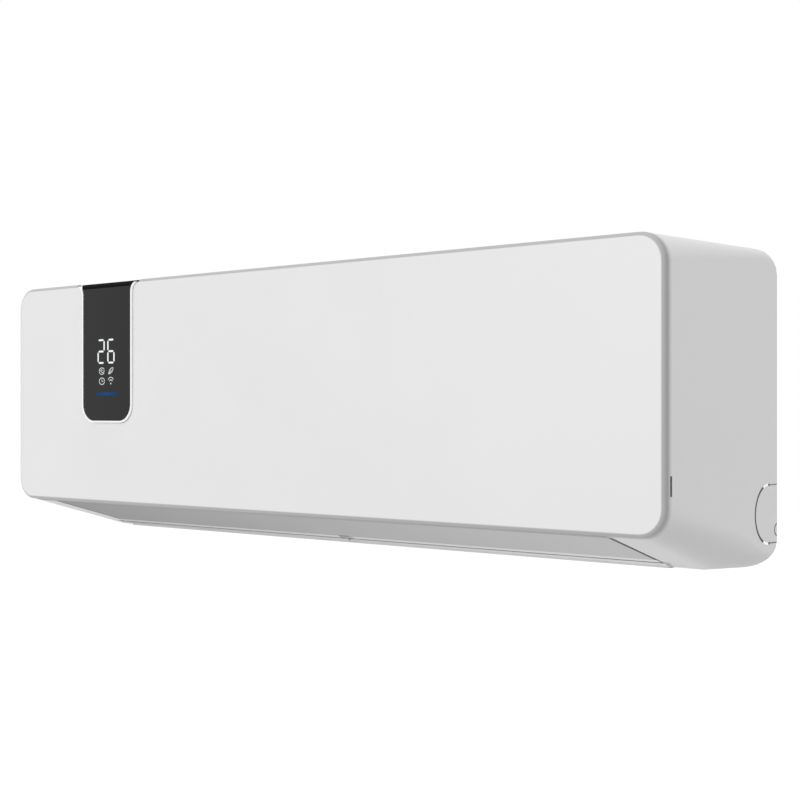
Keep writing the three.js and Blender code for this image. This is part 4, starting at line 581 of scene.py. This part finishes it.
def finish(name):
    """The material of one finish, made the first time it is asked for."""
    if name in bpy.data.materials:
        return bpy.data.materials[name]
    colours = bpy.context.scene.unit_colours
    makers = {
        "panel_white": lambda: moulded(name, panel_colour(colours.panel, colours.rim), 0.32, 1400.0, 0.01),
        "casing_white": lambda: moulded(name, casing_colour(colours.casing), 0.42, 1400.0, 0.02, dust=0.03),
        "flap_white": lambda: moulded(name, highlighted_flap(colours.flap), 0.4, 1400.0, 0.02, gloss=0.2),
        # the roll and the flap's centre bracket are paler than the flap: painted highlight
        "roll_painted_highlight": lambda: moulded(name, flap_colour(colours.flap, ROLL_HIGHLIGHTS), 0.3, 1400.0, 0.02),
        "ring_white": lambda: moulded(name, (0.86, 0.86, 0.87), 0.12, 900.0, 0.004),
        "ring_bright": lambda: moulded(name, (0.97, 0.97, 0.975), 0.16, 900.0, 0.002, metallic=0.7),
        "wrap_shaded_black": lambda: matt_black(name),
        "glass_smoked": lambda: smoked_glass(name),
        "digits_lit": lambda: lamp(name, colours.lamp, 1.02),
        "icons_lit": lambda: lamp(name, times(colours.lamp, 0.85), 0.9),
        "bar_lit": lambda: lamp(name, colours.bar, 1.0, fade=(BAR_X * MM, BAR_GLOW * MM)),
        "inner_grey": lambda: moulded(name, (0.60, 0.61, 0.62), 0.5, 700.0, 0.05, dust=0.15),
        "dark_plastic": lambda: moulded(name, (0.035, 0.036, 0.04), 0.5, 600.0, 0.08, dust=0.08),
        "filter_blue": lambda: moulded(name, (0.15, 0.24, 0.38), 0.55, 700.0, 0.05, dust=0.2),
        "painted_gap_shade": lambda: moulded(name, (0.09, 0.09, 0.092), 0.7, 700.0, 0.02),
        "seam_painted_shade": lambda: moulded(name, (0.17, 0.17, 0.172), 0.7, 700.0, 0.02),
        "filter_mesh": lambda: woven_mesh(name, bpy.context.scene.unit_sizes.mesh_pitch),
        "rubber_black": lambda: moulded(name, (0.02, 0.02, 0.02), 0.85, 500.0, 0.15),
        "steel_zinc": lambda: brushed(name, (0.56, 0.57, 0.58), 0.42),
        "motor_grey": lambda: moulded(name, (0.42, 0.43, 0.44), 0.4, 800.0, 0.05),
        "fins": lambda: finned_metal(name),
        "copper_drawn": lambda: brushed(name, (0.74, 0.38, 0.22), 0.3, (160.0, 6.0, 6.0)),
        "brass_turned": lambda: brushed(name, (0.66, 0.48, 0.18), 0.28, (200.0, 6.0, 6.0)),
        "board_green": lambda: printed_board(name),
    }
    return makers[name]()


# ---------- readout ----------
GLASS_FRONT = (GLASS_LOW.y + UNIT_DEPTH) / MM  # depth of the glass's front
BAR_X = -239.6  # middle of the light bar, along the unit
BAR_GLOW = 17.0  # how far its brighter middle reaches
DIGIT_STARTS = (("2", -253.9), ("6", -238.4))  # left edge of each digit
DIGIT_FOOT = 171.6  # height of their lower edge
SEGMENTS = {"2": "abged", "6": "afgedc"}
ICON_ROWS = (164.3, 154.2)  # heights of the two rows of icons
ICON_COLUMNS = (-247.0, -232.9)
BAR_HEIGHTS = (140.4, 142.8)
MARK_SPAN = (-0.18, -0.06)  # front and back of the lit marks, from the glass's front
SEGMENT_GAP = 0.75  # gap between neighbouring segments
PEN = 0.36  # half the icons' stroke


def flat_mark(work, outline):
    """A thin lit plate on the glass with the given outline of (x, height) points."""
    front, back = (GLASS_FRONT + depth for depth in MARK_SPAN)
    closed_plate(work, [place(x, front, height) for x, height in outline],
                 [place(x, back, height) for x, height in outline])


def stroke_outline(points, half):
    """The outline of a pen stroke of even width through the points, with pointed ends."""
    left, right = [], []
    for i, (x, z) in enumerate(points):
        before = points[max(i - 1, 0)]
        after = points[min(i + 1, len(points) - 1)]
        dx, dz = after[0] - before[0], after[1] - before[1]
        length = sqrt(dx * dx + dz * dz) or 1.0
        nx, nz = -dz / length * half, dx / length * half
        left.append((x + nx, z + nz))
        right.append((x - nx, z - nz))
    return left + right[::-1]


def segment_outline(start, end, half):
    """One display segment, with its mitred ends."""
    (x0, z0), (x1, z1) = start, end
    length = sqrt((x1 - x0) ** 2 + (z1 - z0) ** 2)
    ux, uz = (x1 - x0) / length, (z1 - z0) / length
    nx, nz = -uz * half, ux * half
    near, far = (x0 + ux * half, z0 + uz * half), (x1 - ux * half, z1 - uz * half)
    return [
        (x0, z0), (near[0] + nx, near[1] + nz), (far[0] + nx, far[1] + nz),
        (x1, z1), (far[0] - nx, far[1] - nz), (near[0] - nx, near[1] - nz),
    ]


def digit_segments(digit, left, low, width, height):
    """The outlines' end points of one digit's lit segments."""
    right, high, middle = left + width, low + height, low + height / 2
    gap = SEGMENT_GAP
    ends = {
        "a": ((left + gap, high), (right - gap, high)),
        "b": ((right, high - gap), (right, middle + gap)),
        "c": ((right, middle - gap), (right, low + gap)),
        "d": ((left + gap, low), (right - gap, low)),
        "e": ((left, middle - gap), (left, low + gap)),
        "f": ((left, high - gap), (left, middle + gap)),
        "g": ((left + gap, middle), (right - gap, middle)),
    }
    return [ends[key] for key in SEGMENTS[digit]]


def draw_digits(work):
    """The two digits of the temperature."""
    sizes = bpy.context.scene.unit_sizes
    stroke = sizes.stroke / MM
    width, height = sizes.digit_width / MM - stroke, sizes.digit_height / MM - stroke
    for digit, left in DIGIT_STARTS:
        for start, end in digit_segments(digit, left + stroke / 2, DIGIT_FOOT + stroke / 2, width, height):
            flat_mark(work, segment_outline(start, end, stroke / 2))


def arc(cx, cz, rx, rz, start, end, steps=14):
    """Points of an ellipse's arc, angles in degrees."""
    turns = [radians(start + (end - start) * i / steps) for i in range(steps + 1)]
    return [(cx + rx * cos(turn), cz + rz * sin(turn)) for turn in turns]


def draw_icons(work):
    """Four plain icons: a swirl, a leaf, a clock and radio arcs."""
    radius = bpy.context.scene.unit_sizes.icon_size / MM / 2
    wide = radius * 1.28
    (left, right), (high, low) = ICON_COLUMNS, ICON_ROWS
    strokes = [
        arc(left, high, wide, radius, 30, 325),
        arc(left + wide * 0.34, high + radius * 0.04, wide * 0.5, radius * 0.48, 30, -180),
        arc(left - wide * 0.12, high + radius * 0.04, wide * 0.38, radius * 0.36, 20, 200),
        arc(left, low, wide, radius, 0, 350),
        [(left, low + radius * 0.62), (left, low - radius * 0.05), (left + wide * 0.5, low - radius * 0.05)],
        arc(right + wide * 0.83, high - radius * 0.85, wide * 1.6, radius * 1.8, 90, 180),
        arc(right - wide * 0.77, high + radius * 0.95, wide * 1.6, radius * 1.8, 270, 360),
        [(right - wide * 0.8, high - radius * 1.0), (right + wide * 0.2, high + radius * 0.25)],
        arc(right, low + radius * 0.06, wide * 1.0, radius * 1.06, 20, 160),
        arc(right, low - radius * 0.26, wide * 0.58, radius * 0.62, 20, 160),
        arc(right, low - radius * 0.76, wide * 0.13, radius * 0.16, 0, 350, 8),
    ]
    for points in strokes:
        flat_mark(work, stroke_outline(points, PEN))


def draw_bar(work):
    """The light bar, with round ends."""
    half = bpy.context.scene.unit_sizes.bar_length / MM / 2
    low, high = BAR_HEIGHTS
    radius = (high - low) / 2
    points = arc(BAR_X + half - radius, low + radius, radius, radius, -90, 90, 8)
    points += arc(BAR_X - half + radius, low + radius, radius, radius, 90, 270, 8)
    flat_mark(work, points)


# ---------- flap roll and painted shadows of its seams ---
SLOPE = (8.0, 31.5, 115.0)  # where the underside's slope starts, its height there, and where it ends
SEAM = (97.0, 101.0)  # painted shade line along the flap's seam, behind its roll
ROLL = (  # section of the roll: depths, and how far it stands out there
    (88.2, -0.3), (88.6, 0.06), (90.2, 0.3), (91.8, 0.6),
    (93.0, 0.75), (94.0, 0.65), (94.8, 0.3), (95.0, -0.3),
)
ROLL_HALF = 330.4  # half its length
BREAK = 8.4  # half the break in the middle of both
STRIP_SPAN = (-0.08, 0.4)  # lower and upper side of the strips, from the underside
SLOTS = ((-6.3, 5.4, 86.8, 89.2), (-4.6, 4.4, 97.8, 99.4))  # painted shadows of the slots in that break
END_SEAM = ((337.5, 11.5), (332.4, 88.5))  # outer edge of the painted shadow along the seam at each end: front and rear
END_WIDTH = 2.9  # width of that painted shadow


def slope_height(depth):
    """Height of the underside at a depth."""
    start, high, end = SLOPE
    return high * (end - depth) / (end - start)


def slope_strip(work, corners):
    """A thin strip on the underside, from the corners' places (x, depth)."""
    closed_plate(work, *([place(x, depth, slope_height(depth) + rise) for x, depth in corners]
                         for rise in STRIP_SPAN))


def draw_rear_seam_shade(work):
    """A grey strip of painted shade along the seam behind the roll."""
    near, far = SEAM
    for inner, outer in ((-BREAK, -ROLL_HALF), (BREAK, ROLL_HALF)):
        slope_strip(work, [(inner, near), (outer, near), (outer, far), (inner, far)])


def draw_seam_shadows(work):
    """Dark strips of painted shadow along the seams at the flap's ends and in the slots in its middle."""
    (wide, start), (narrow, end) = END_SEAM
    for side in (-1, 1):
        slope_strip(work, [(side * (wide - END_WIDTH), start), (side * wide, start),
                           (side * narrow, end), (side * (narrow - END_WIDTH), end)])
    for left, right, front, back in SLOTS:
        slope_strip(work, [(left, front), (right, front), (right, back), (left, back)])


def draw_rolls(work):
    """The round roll along the flap's rear, left and right of its middle."""
    for side in (-1, 1):
        closed_plate(work, *([place(x, depth, slope_height(depth) - drop) for depth, drop in ROLL]
                             for x in (side * BREAK, side * ROLL_HALF)))


# ---------- painted shadow lines and highlights on the sides ---
SIDE_SPAN = (PANEL_HIGH.x / MM + 0.06, PANEL_HIGH.x / MM - 0.24)  # outer and inner side of the lines
COVER_CENTRE = (163.4, 42.4)  # depth and height of the middle of a pipe cover's round front
COVER_EDGE = (22.6, 24.5)  # inner and outer radius of the painted shadow line round it
COVER_TURN = 114  # degrees from the rear where the painted shadow line ends and the painted highlight on the edge starts
HIGHLIGHT_TURN = 93  # where that painted highlight ends
COVER_DOT = (1.0, 1.2, 1.0)  # painted shadow dot past it: reach forward, reach back and half height
COVER_LINE = (177.6, 0.3)  # straight painted shadow line behind the dot: the depth where it ends and half its height
COVER_LINE_OUT = 0.6  # dot and line, out from the inner radius
HALF_ROUND_CENTRE = (178.0, 29.2)  # the half-round mark at the cover's rear, depth and height
HALF_ROUND_EDGE = (4.0, 5.1)  # inner and outer radius of its painted shadow line
HALF_ROUND_TURN = 96
BAND_STEP = 6  # degrees of one piece of a band
SLOT = (7.9, 9.8, 63.0, 77.7)  # painted shadow of the side slot: depths and heights


def side_plate(work, side, points):
    """A thin plate on one side, from its outline's (depth, height) points."""
    closed_plate(work, *([place(side * x, depth, height) for depth, height in points] for x in SIDE_SPAN))


def side_box(work, side, front, back, low, high):
    """A thin upright rectangle on one side."""
    side_plate(work, side, [(front, low), (back, low), (back, high), (front, high)])


def side_band(work, side, centre, edge, start, end):
    """Part of a ring on one side, between two angles from the rear."""
    inner, outer = edge
    steps = max(2, round(abs(end - start) / BAND_STEP))
    for i in range(steps):
        turns = (start + (end - start) * i / steps, start + (end - start) * (i + 1) / steps)
        rims = [arc(*centre, radius, radius, *turns, 1) for radius in (inner, outer)]
        side_plate(work, side, rims[0] + rims[1][::-1])


def draw_side_shadow_lines(work):
    """Painted shadow lines of the side slots, round the pipe covers and of their marks."""
    depth, height = COVER_CENTRE
    forward, back, dot_half = COVER_DOT
    line_end, line_half = COVER_LINE
    for side in (-1, 1):
        side_box(work, side, *SLOT)
        side_band(work, side, COVER_CENTRE, COVER_EDGE, COVER_TURN, 360 - COVER_TURN)
        side_band(work, side, HALF_ROUND_CENTRE, HALF_ROUND_EDGE, HALF_ROUND_TURN, 360 - HALF_ROUND_TURN)
        for end in (-1, 1):
            middle = height + end * (COVER_EDGE[0] + COVER_LINE_OUT)
            side_box(work, side, depth - forward, depth + back, middle - dot_half, middle + dot_half)
            side_box(work, side, depth + back, line_end, middle - line_half, middle + line_half)


def draw_side_highlights(work):
    """Painted highlights on the edges above and below the pipe covers' round fronts."""
    for side in (-1, 1):
        side_band(work, side, COVER_CENTRE, COVER_EDGE, HIGHLIGHT_TURN, COVER_TURN)
        side_band(work, side, COVER_CENTRE, COVER_EDGE, 360 - COVER_TURN, 360 - HIGHLIGHT_TURN)


# ---------- filter mesh ----------
MESH_INSET = 5.0 * MM  # mesh in from the filter's outline
MESH_FORWARD = 0.6 * MM  # and forward from its back


def mesh_sheet(side):
    """Fills one dust filter with a thin sheet of mesh behind its grid."""
    def build(work):
        low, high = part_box(f"dust_filter_{side}")
        y = high.y - MESH_FORWARD
        left, right = low.x + MESH_INSET, high.x - MESH_INSET
        foot, head = low.z + MESH_INSET, high.z - MESH_INSET
        corners = ((left, foot), (right, foot), (right, head), (left, head))
        work.faces.new([work.verts.new((x, y, z)) for x, z in corners])
    return build


# ---------- operators ----------
WRAP_TILT = 0.08  # the glass is matt black, painted shade without reflection, where it faces upwards more than this


class UNIT_OT_front_panel(Operator):
    """Finish the hinged front panel"""

    bl_idname = "unit.front_panel"
    bl_label = "Front panel"

    def execute(self, context):
        dressed("front_panel", finish("panel_white"), angle=30)
        dressed("manual_button", finish("ring_white"))
        return {"FINISHED"}


class UNIT_OT_casing(Operator):
    """Finish the casing, its pipe covers and the inlet grille"""

    bl_idname = "unit.casing"
    bl_label = "Casing"

    def execute(self, context):
        for node in ("front_casing", "pipe_cover_left", "pipe_cover_right", "top_grille"):
            dressed(node, finish("casing_white"), angle=32)
        return {"FINISHED"}


class UNIT_OT_side_marks(Operator):
    """Draw the painted shadow lines of the side slots and pipe covers, and the painted highlights on the
    covers' edges
    """

    bl_idname = "unit.side_marks"
    bl_label = "Side marks"

    def execute(self, context):
        piece_from("side_shadow_lines", draw_side_shadow_lines, finish("painted_gap_shade"), "housing")
        piece_from("side_highlights", draw_side_highlights, finish("ring_bright"), "housing")
        return {"FINISHED"}


class UNIT_OT_flap(Operator):
    """Finish the outlet flap and its bracket, and draw the flap's roll, the painted shadows along its seams
    and slots, and the painted shade along its rear seam
    """

    bl_idname = "unit.flap"
    bl_label = "Outlet flap"

    def execute(self, context):
        dressed("horizontal_flap", finish("flap_white"), angle=35)
        dressed("flap_centre_bracket", finish("roll_painted_highlight"))
        piece_from("flap_seam_shadows", draw_seam_shadows, finish("painted_gap_shade"), "flap")
        piece_from("flap_rear_seam_shade", draw_rear_seam_shade, finish("seam_painted_shade"), "flap")
        soften(piece_from("flap_rolls", draw_rolls, finish("roll_painted_highlight"), "flap"))
        return {"FINISHED"}


class UNIT_OT_display(Operator):
    """Finish the ring and the glass"""

    bl_idname = "unit.display"
    bl_label = "Display"

    def execute(self, context):
        dressed("display_ring", finish("ring_bright"), width=0.35 * MM)
        glass = dressed("display_glass", finish("glass_smoked"))
        glass.data.materials.append(finish("wrap_shaded_black"))
        for face in glass.data.polygons:
            if face.normal.z > WRAP_TILT:
                face.material_index = 1
        return {"FINISHED"}


class UNIT_OT_readout(Operator):
    """Draw the lit digits, icons and bar"""

    bl_idname = "unit.readout"
    bl_label = "Readout"

    def execute(self, context):
        piece_from("readout_digits", draw_digits, finish("digits_lit"), "panel")
        piece_from("readout_icons", draw_icons, finish("icons_lit"), "panel")
        piece_from("readout_bar", draw_bar, finish("bar_lit"), "panel")
        return {"FINISHED"}


class UNIT_OT_filters(Operator):
    """Stretch the fine mesh over the dust filters"""

    bl_idname = "unit.filters"
    bl_label = "Dust filters"

    def execute(self, context):
        mesh = finish("filter_mesh")
        for side in ("left", "right"):
            piece_from(f"filter_mesh_{side}", mesh_sheet(side), mesh, f"filter_{side}")
        return {"FINISHED"}


INSIDE = {
    "inner_grey": ("rear_chassis", "filter_guide", "outlet_frame", "vane_link_left", "vane_link_right"),
    "filter_blue": ("dust_filter_left", "dust_filter_right"),
    "steel_zinc": ("wall_plate", "panel_hinge_pin_left", "panel_hinge_pin_right", "flap_pivot_pin_left",
                   "flap_drive_shaft", "fan_stub_shaft", "motor_shaft", "motor_clamp", "tube_sheet_left",
                   "casing_screw_left", "casing_screw_right"),
    "casing_white": ("flap_motor",),
    "dark_plastic": ("display_housing", "cross_flow_fan", "electrical_box",
                     "electrical_box_cover", "terminal_block", "button_switch"),
    "rubber_black": ("fan_bearing",),
    "motor_grey": ("fan_motor",),
    "fins": ("coil_front_lower", "coil_front_upper", "coil_rear"),
    "copper_drawn": ("tube_sheet_right", "gas_pipe", "liquid_pipe"),
    "brass_turned": ("gas_flare_nut", "liquid_flare_nut"),
    "board_green": ("display_board", "control_board"),
}


class UNIT_OT_gaps(Operator):
    """Paint shade into the narrow gaps between the outer mouldings"""

    bl_idname = "unit.gaps"
    bl_label = "Gaps"

    def execute(self, context):
        finished = bpy.data.objects
        casing = finished["front_casing_finished"]
        covers = [finished["pipe_cover_left_finished"], finished["pipe_cover_right_finished"]]
        shade_gaps([casing, *covers], finish("painted_gap_shade"))
        shade_gaps([casing, finished["horizontal_flap_finished"]], finish("painted_gap_shade"), 0.4)
        return {"FINISHED"}


class UNIT_OT_inside(Operator):
    """Give every inner part its finish"""

    bl_idname = "unit.inside"
    bl_label = "Inner parts"

    def execute(self, context):
        for name, nodes in INSIDE.items():
            for node in nodes:
                give_finish(node, finish(name))
        for node in frame["nodes"]:
            if node.startswith("vertical_vane"):
                give_finish(node, finish("inner_grey"))
        return {"FINISHED"}


def give_finish(node, material):
    """Puts one material on a CAD node."""
    slots = frame["nodes"][node].material_slots
    if not slots:
        raise RuntimeError(f"{node} has no material slot")
    for slot in slots:
        slot.material = material


# ---------- stage ----------
EYE = (0.8931, -1.0663, -0.0368)  # camera's place
HEADING = 40.41  # degrees from straight on
LENS = 63.59
SHIFT = 0.0154
SKY_LEVEL = 0.78  # world's light on the unit; the camera sees it at 1
FLOOR_HEIGHT = -1.3
FLOOR_HALF = 14.0
FLOOR_GLOW = 0.56  # lifts the floor to white for the camera and in reflections


def area_light(name, position, target, width, power):
    """A soft square light that points at a place."""
    data = bpy.data.lights.new(name, "AREA")
    data.shape = "SQUARE"
    data.size = width
    data.energy = power
    light = bpy.data.objects.new(name, data)
    light.location = position
    light.rotation_euler = (Vector(target) - Vector(position)).to_track_quat("-Z", "Y").to_euler()
    bpy.context.scene.collection.objects.link(light)


def pale_floor():
    """A wide pale floor well below the unit."""
    material, tree, shader = plain_material("floor_pale")
    shader.inputs["Roughness"].default_value = 0.9
    shade = math_node(tree, "ADD", math_node(tree, "MULTIPLY", noise(tree, 2.0), 0.02), 0.62)
    tree.links.new(scaled_colour(tree, (1.0, 1.0, 1.0), shade), shader.inputs["Base Color"])
    path = tree.nodes.new("ShaderNodeLightPath")
    seen = math_node(tree, "MAXIMUM", path.outputs["Is Camera Ray"], path.outputs["Is Glossy Ray"])
    shader.inputs["Emission Color"].default_value = (1, 1, 1, 1)
    tree.links.new(math_node(tree, "MULTIPLY", seen, FLOOR_GLOW), shader.inputs["Emission Strength"])
    mesh = bpy.data.meshes.new("floor")
    work = bmesh.new()
    bmesh.ops.create_grid(work, x_segments=2, y_segments=2, size=FLOOR_HALF)
    work.to_mesh(mesh)
    work.free()
    mesh.materials.append(material)
    floor = bpy.data.objects.new("floor", mesh)
    floor.location = (0, 0, FLOOR_HEIGHT)
    bpy.context.scene.collection.objects.link(floor)


def white_world(level):
    """Even light all round, seen as white by the camera."""
    world = bpy.data.worlds.new("studio")
    bpy.context.scene.world = world
    world.use_nodes = True
    tree = world.node_tree
    path = tree.nodes.new("ShaderNodeLightPath")
    seen = math_node(tree, "MAXIMUM", path.outputs["Is Camera Ray"], path.outputs["Is Glossy Ray"])
    seen = math_node(tree, "MAXIMUM", seen, path.outputs["Is Transmission Ray"])
    background = tree.nodes["Background"]
    background.inputs["Color"].default_value = (1, 1, 1, 1)
    strength = math_node(tree, "ADD", math_node(tree, "MULTIPLY", seen, 1.0 - level), level)
    tree.links.new(strength, background.inputs["Strength"])


class UNIT_OT_stage(Operator):
    """Set the floor, the lights and the camera"""

    bl_idname = "unit.stage"
    bl_label = "Stage"

    def execute(self, context):
        scene = context.scene
        scene.view_settings.view_transform = "Standard"
        white_world(SKY_LEVEL)
        pale_floor()
        area_light("front_light", (-0.9, -3.4, 0.7), (0, -0.15, 0), 2.4, 29.0)
        area_light("top_light", (0.2, -0.4, 2.6), (0, 0, 0), 2.2, 11.5)
        data = bpy.data.cameras.new("camera")
        data.lens = LENS
        data.sensor_width = 36.0
        data.shift_y = SHIFT
        camera = bpy.data.objects.new("camera", data)
        camera.location = EYE
        camera.rotation_euler = (radians(90), 0, radians(HEADING))
        scene.collection.objects.link(camera)
        scene.camera = camera
        return {"FINISHED"}


class UNIT_PT_panel(Panel):
    """Steps that build the indoor unit"""

    bl_label = "Indoor unit"
    bl_idname = "UNIT_PT_panel"
    bl_space_type = "VIEW_3D"
    bl_region_type = "UI"
    bl_category = "Indoor unit"

    def draw(self, context):
        layout = self.layout
        for group in (context.scene.unit_sizes, context.scene.unit_colours):
            for key in group.__annotations__:
                layout.prop(group, key)
        for step in STEPS:
            layout.operator(step.bl_idname)


STEPS = (
    UNIT_OT_front_panel, UNIT_OT_casing, UNIT_OT_side_marks, UNIT_OT_flap, UNIT_OT_display,
    UNIT_OT_readout, UNIT_OT_filters, UNIT_OT_gaps, UNIT_OT_inside, UNIT_OT_stage,
)
CLASSES = (UnitSizes, UnitColours, *STEPS, UNIT_PT_panel)


def register():
    for cls in CLASSES:
        bpy.utils.register_class(cls)
    bpy.types.Scene.unit_sizes = PointerProperty(type=UnitSizes)
    bpy.types.Scene.unit_colours = PointerProperty(type=UnitColours)


def unregister():
    del bpy.types.Scene.unit_colours
    del bpy.types.Scene.unit_sizes
    for cls in reversed(CLASSES):
        bpy.utils.unregister_class(cls)


def main():
    register()
    bpy.ops.unit.front_panel()
    bpy.ops.unit.casing()
    bpy.ops.unit.side_marks()
    bpy.ops.unit.flap()
    bpy.ops.unit.display()
    bpy.ops.unit.readout()
    bpy.ops.unit.filters()
    bpy.ops.unit.gaps()
    bpy.ops.unit.inside()
    bpy.ops.unit.stage()


if __name__ == "__main__":
    main()
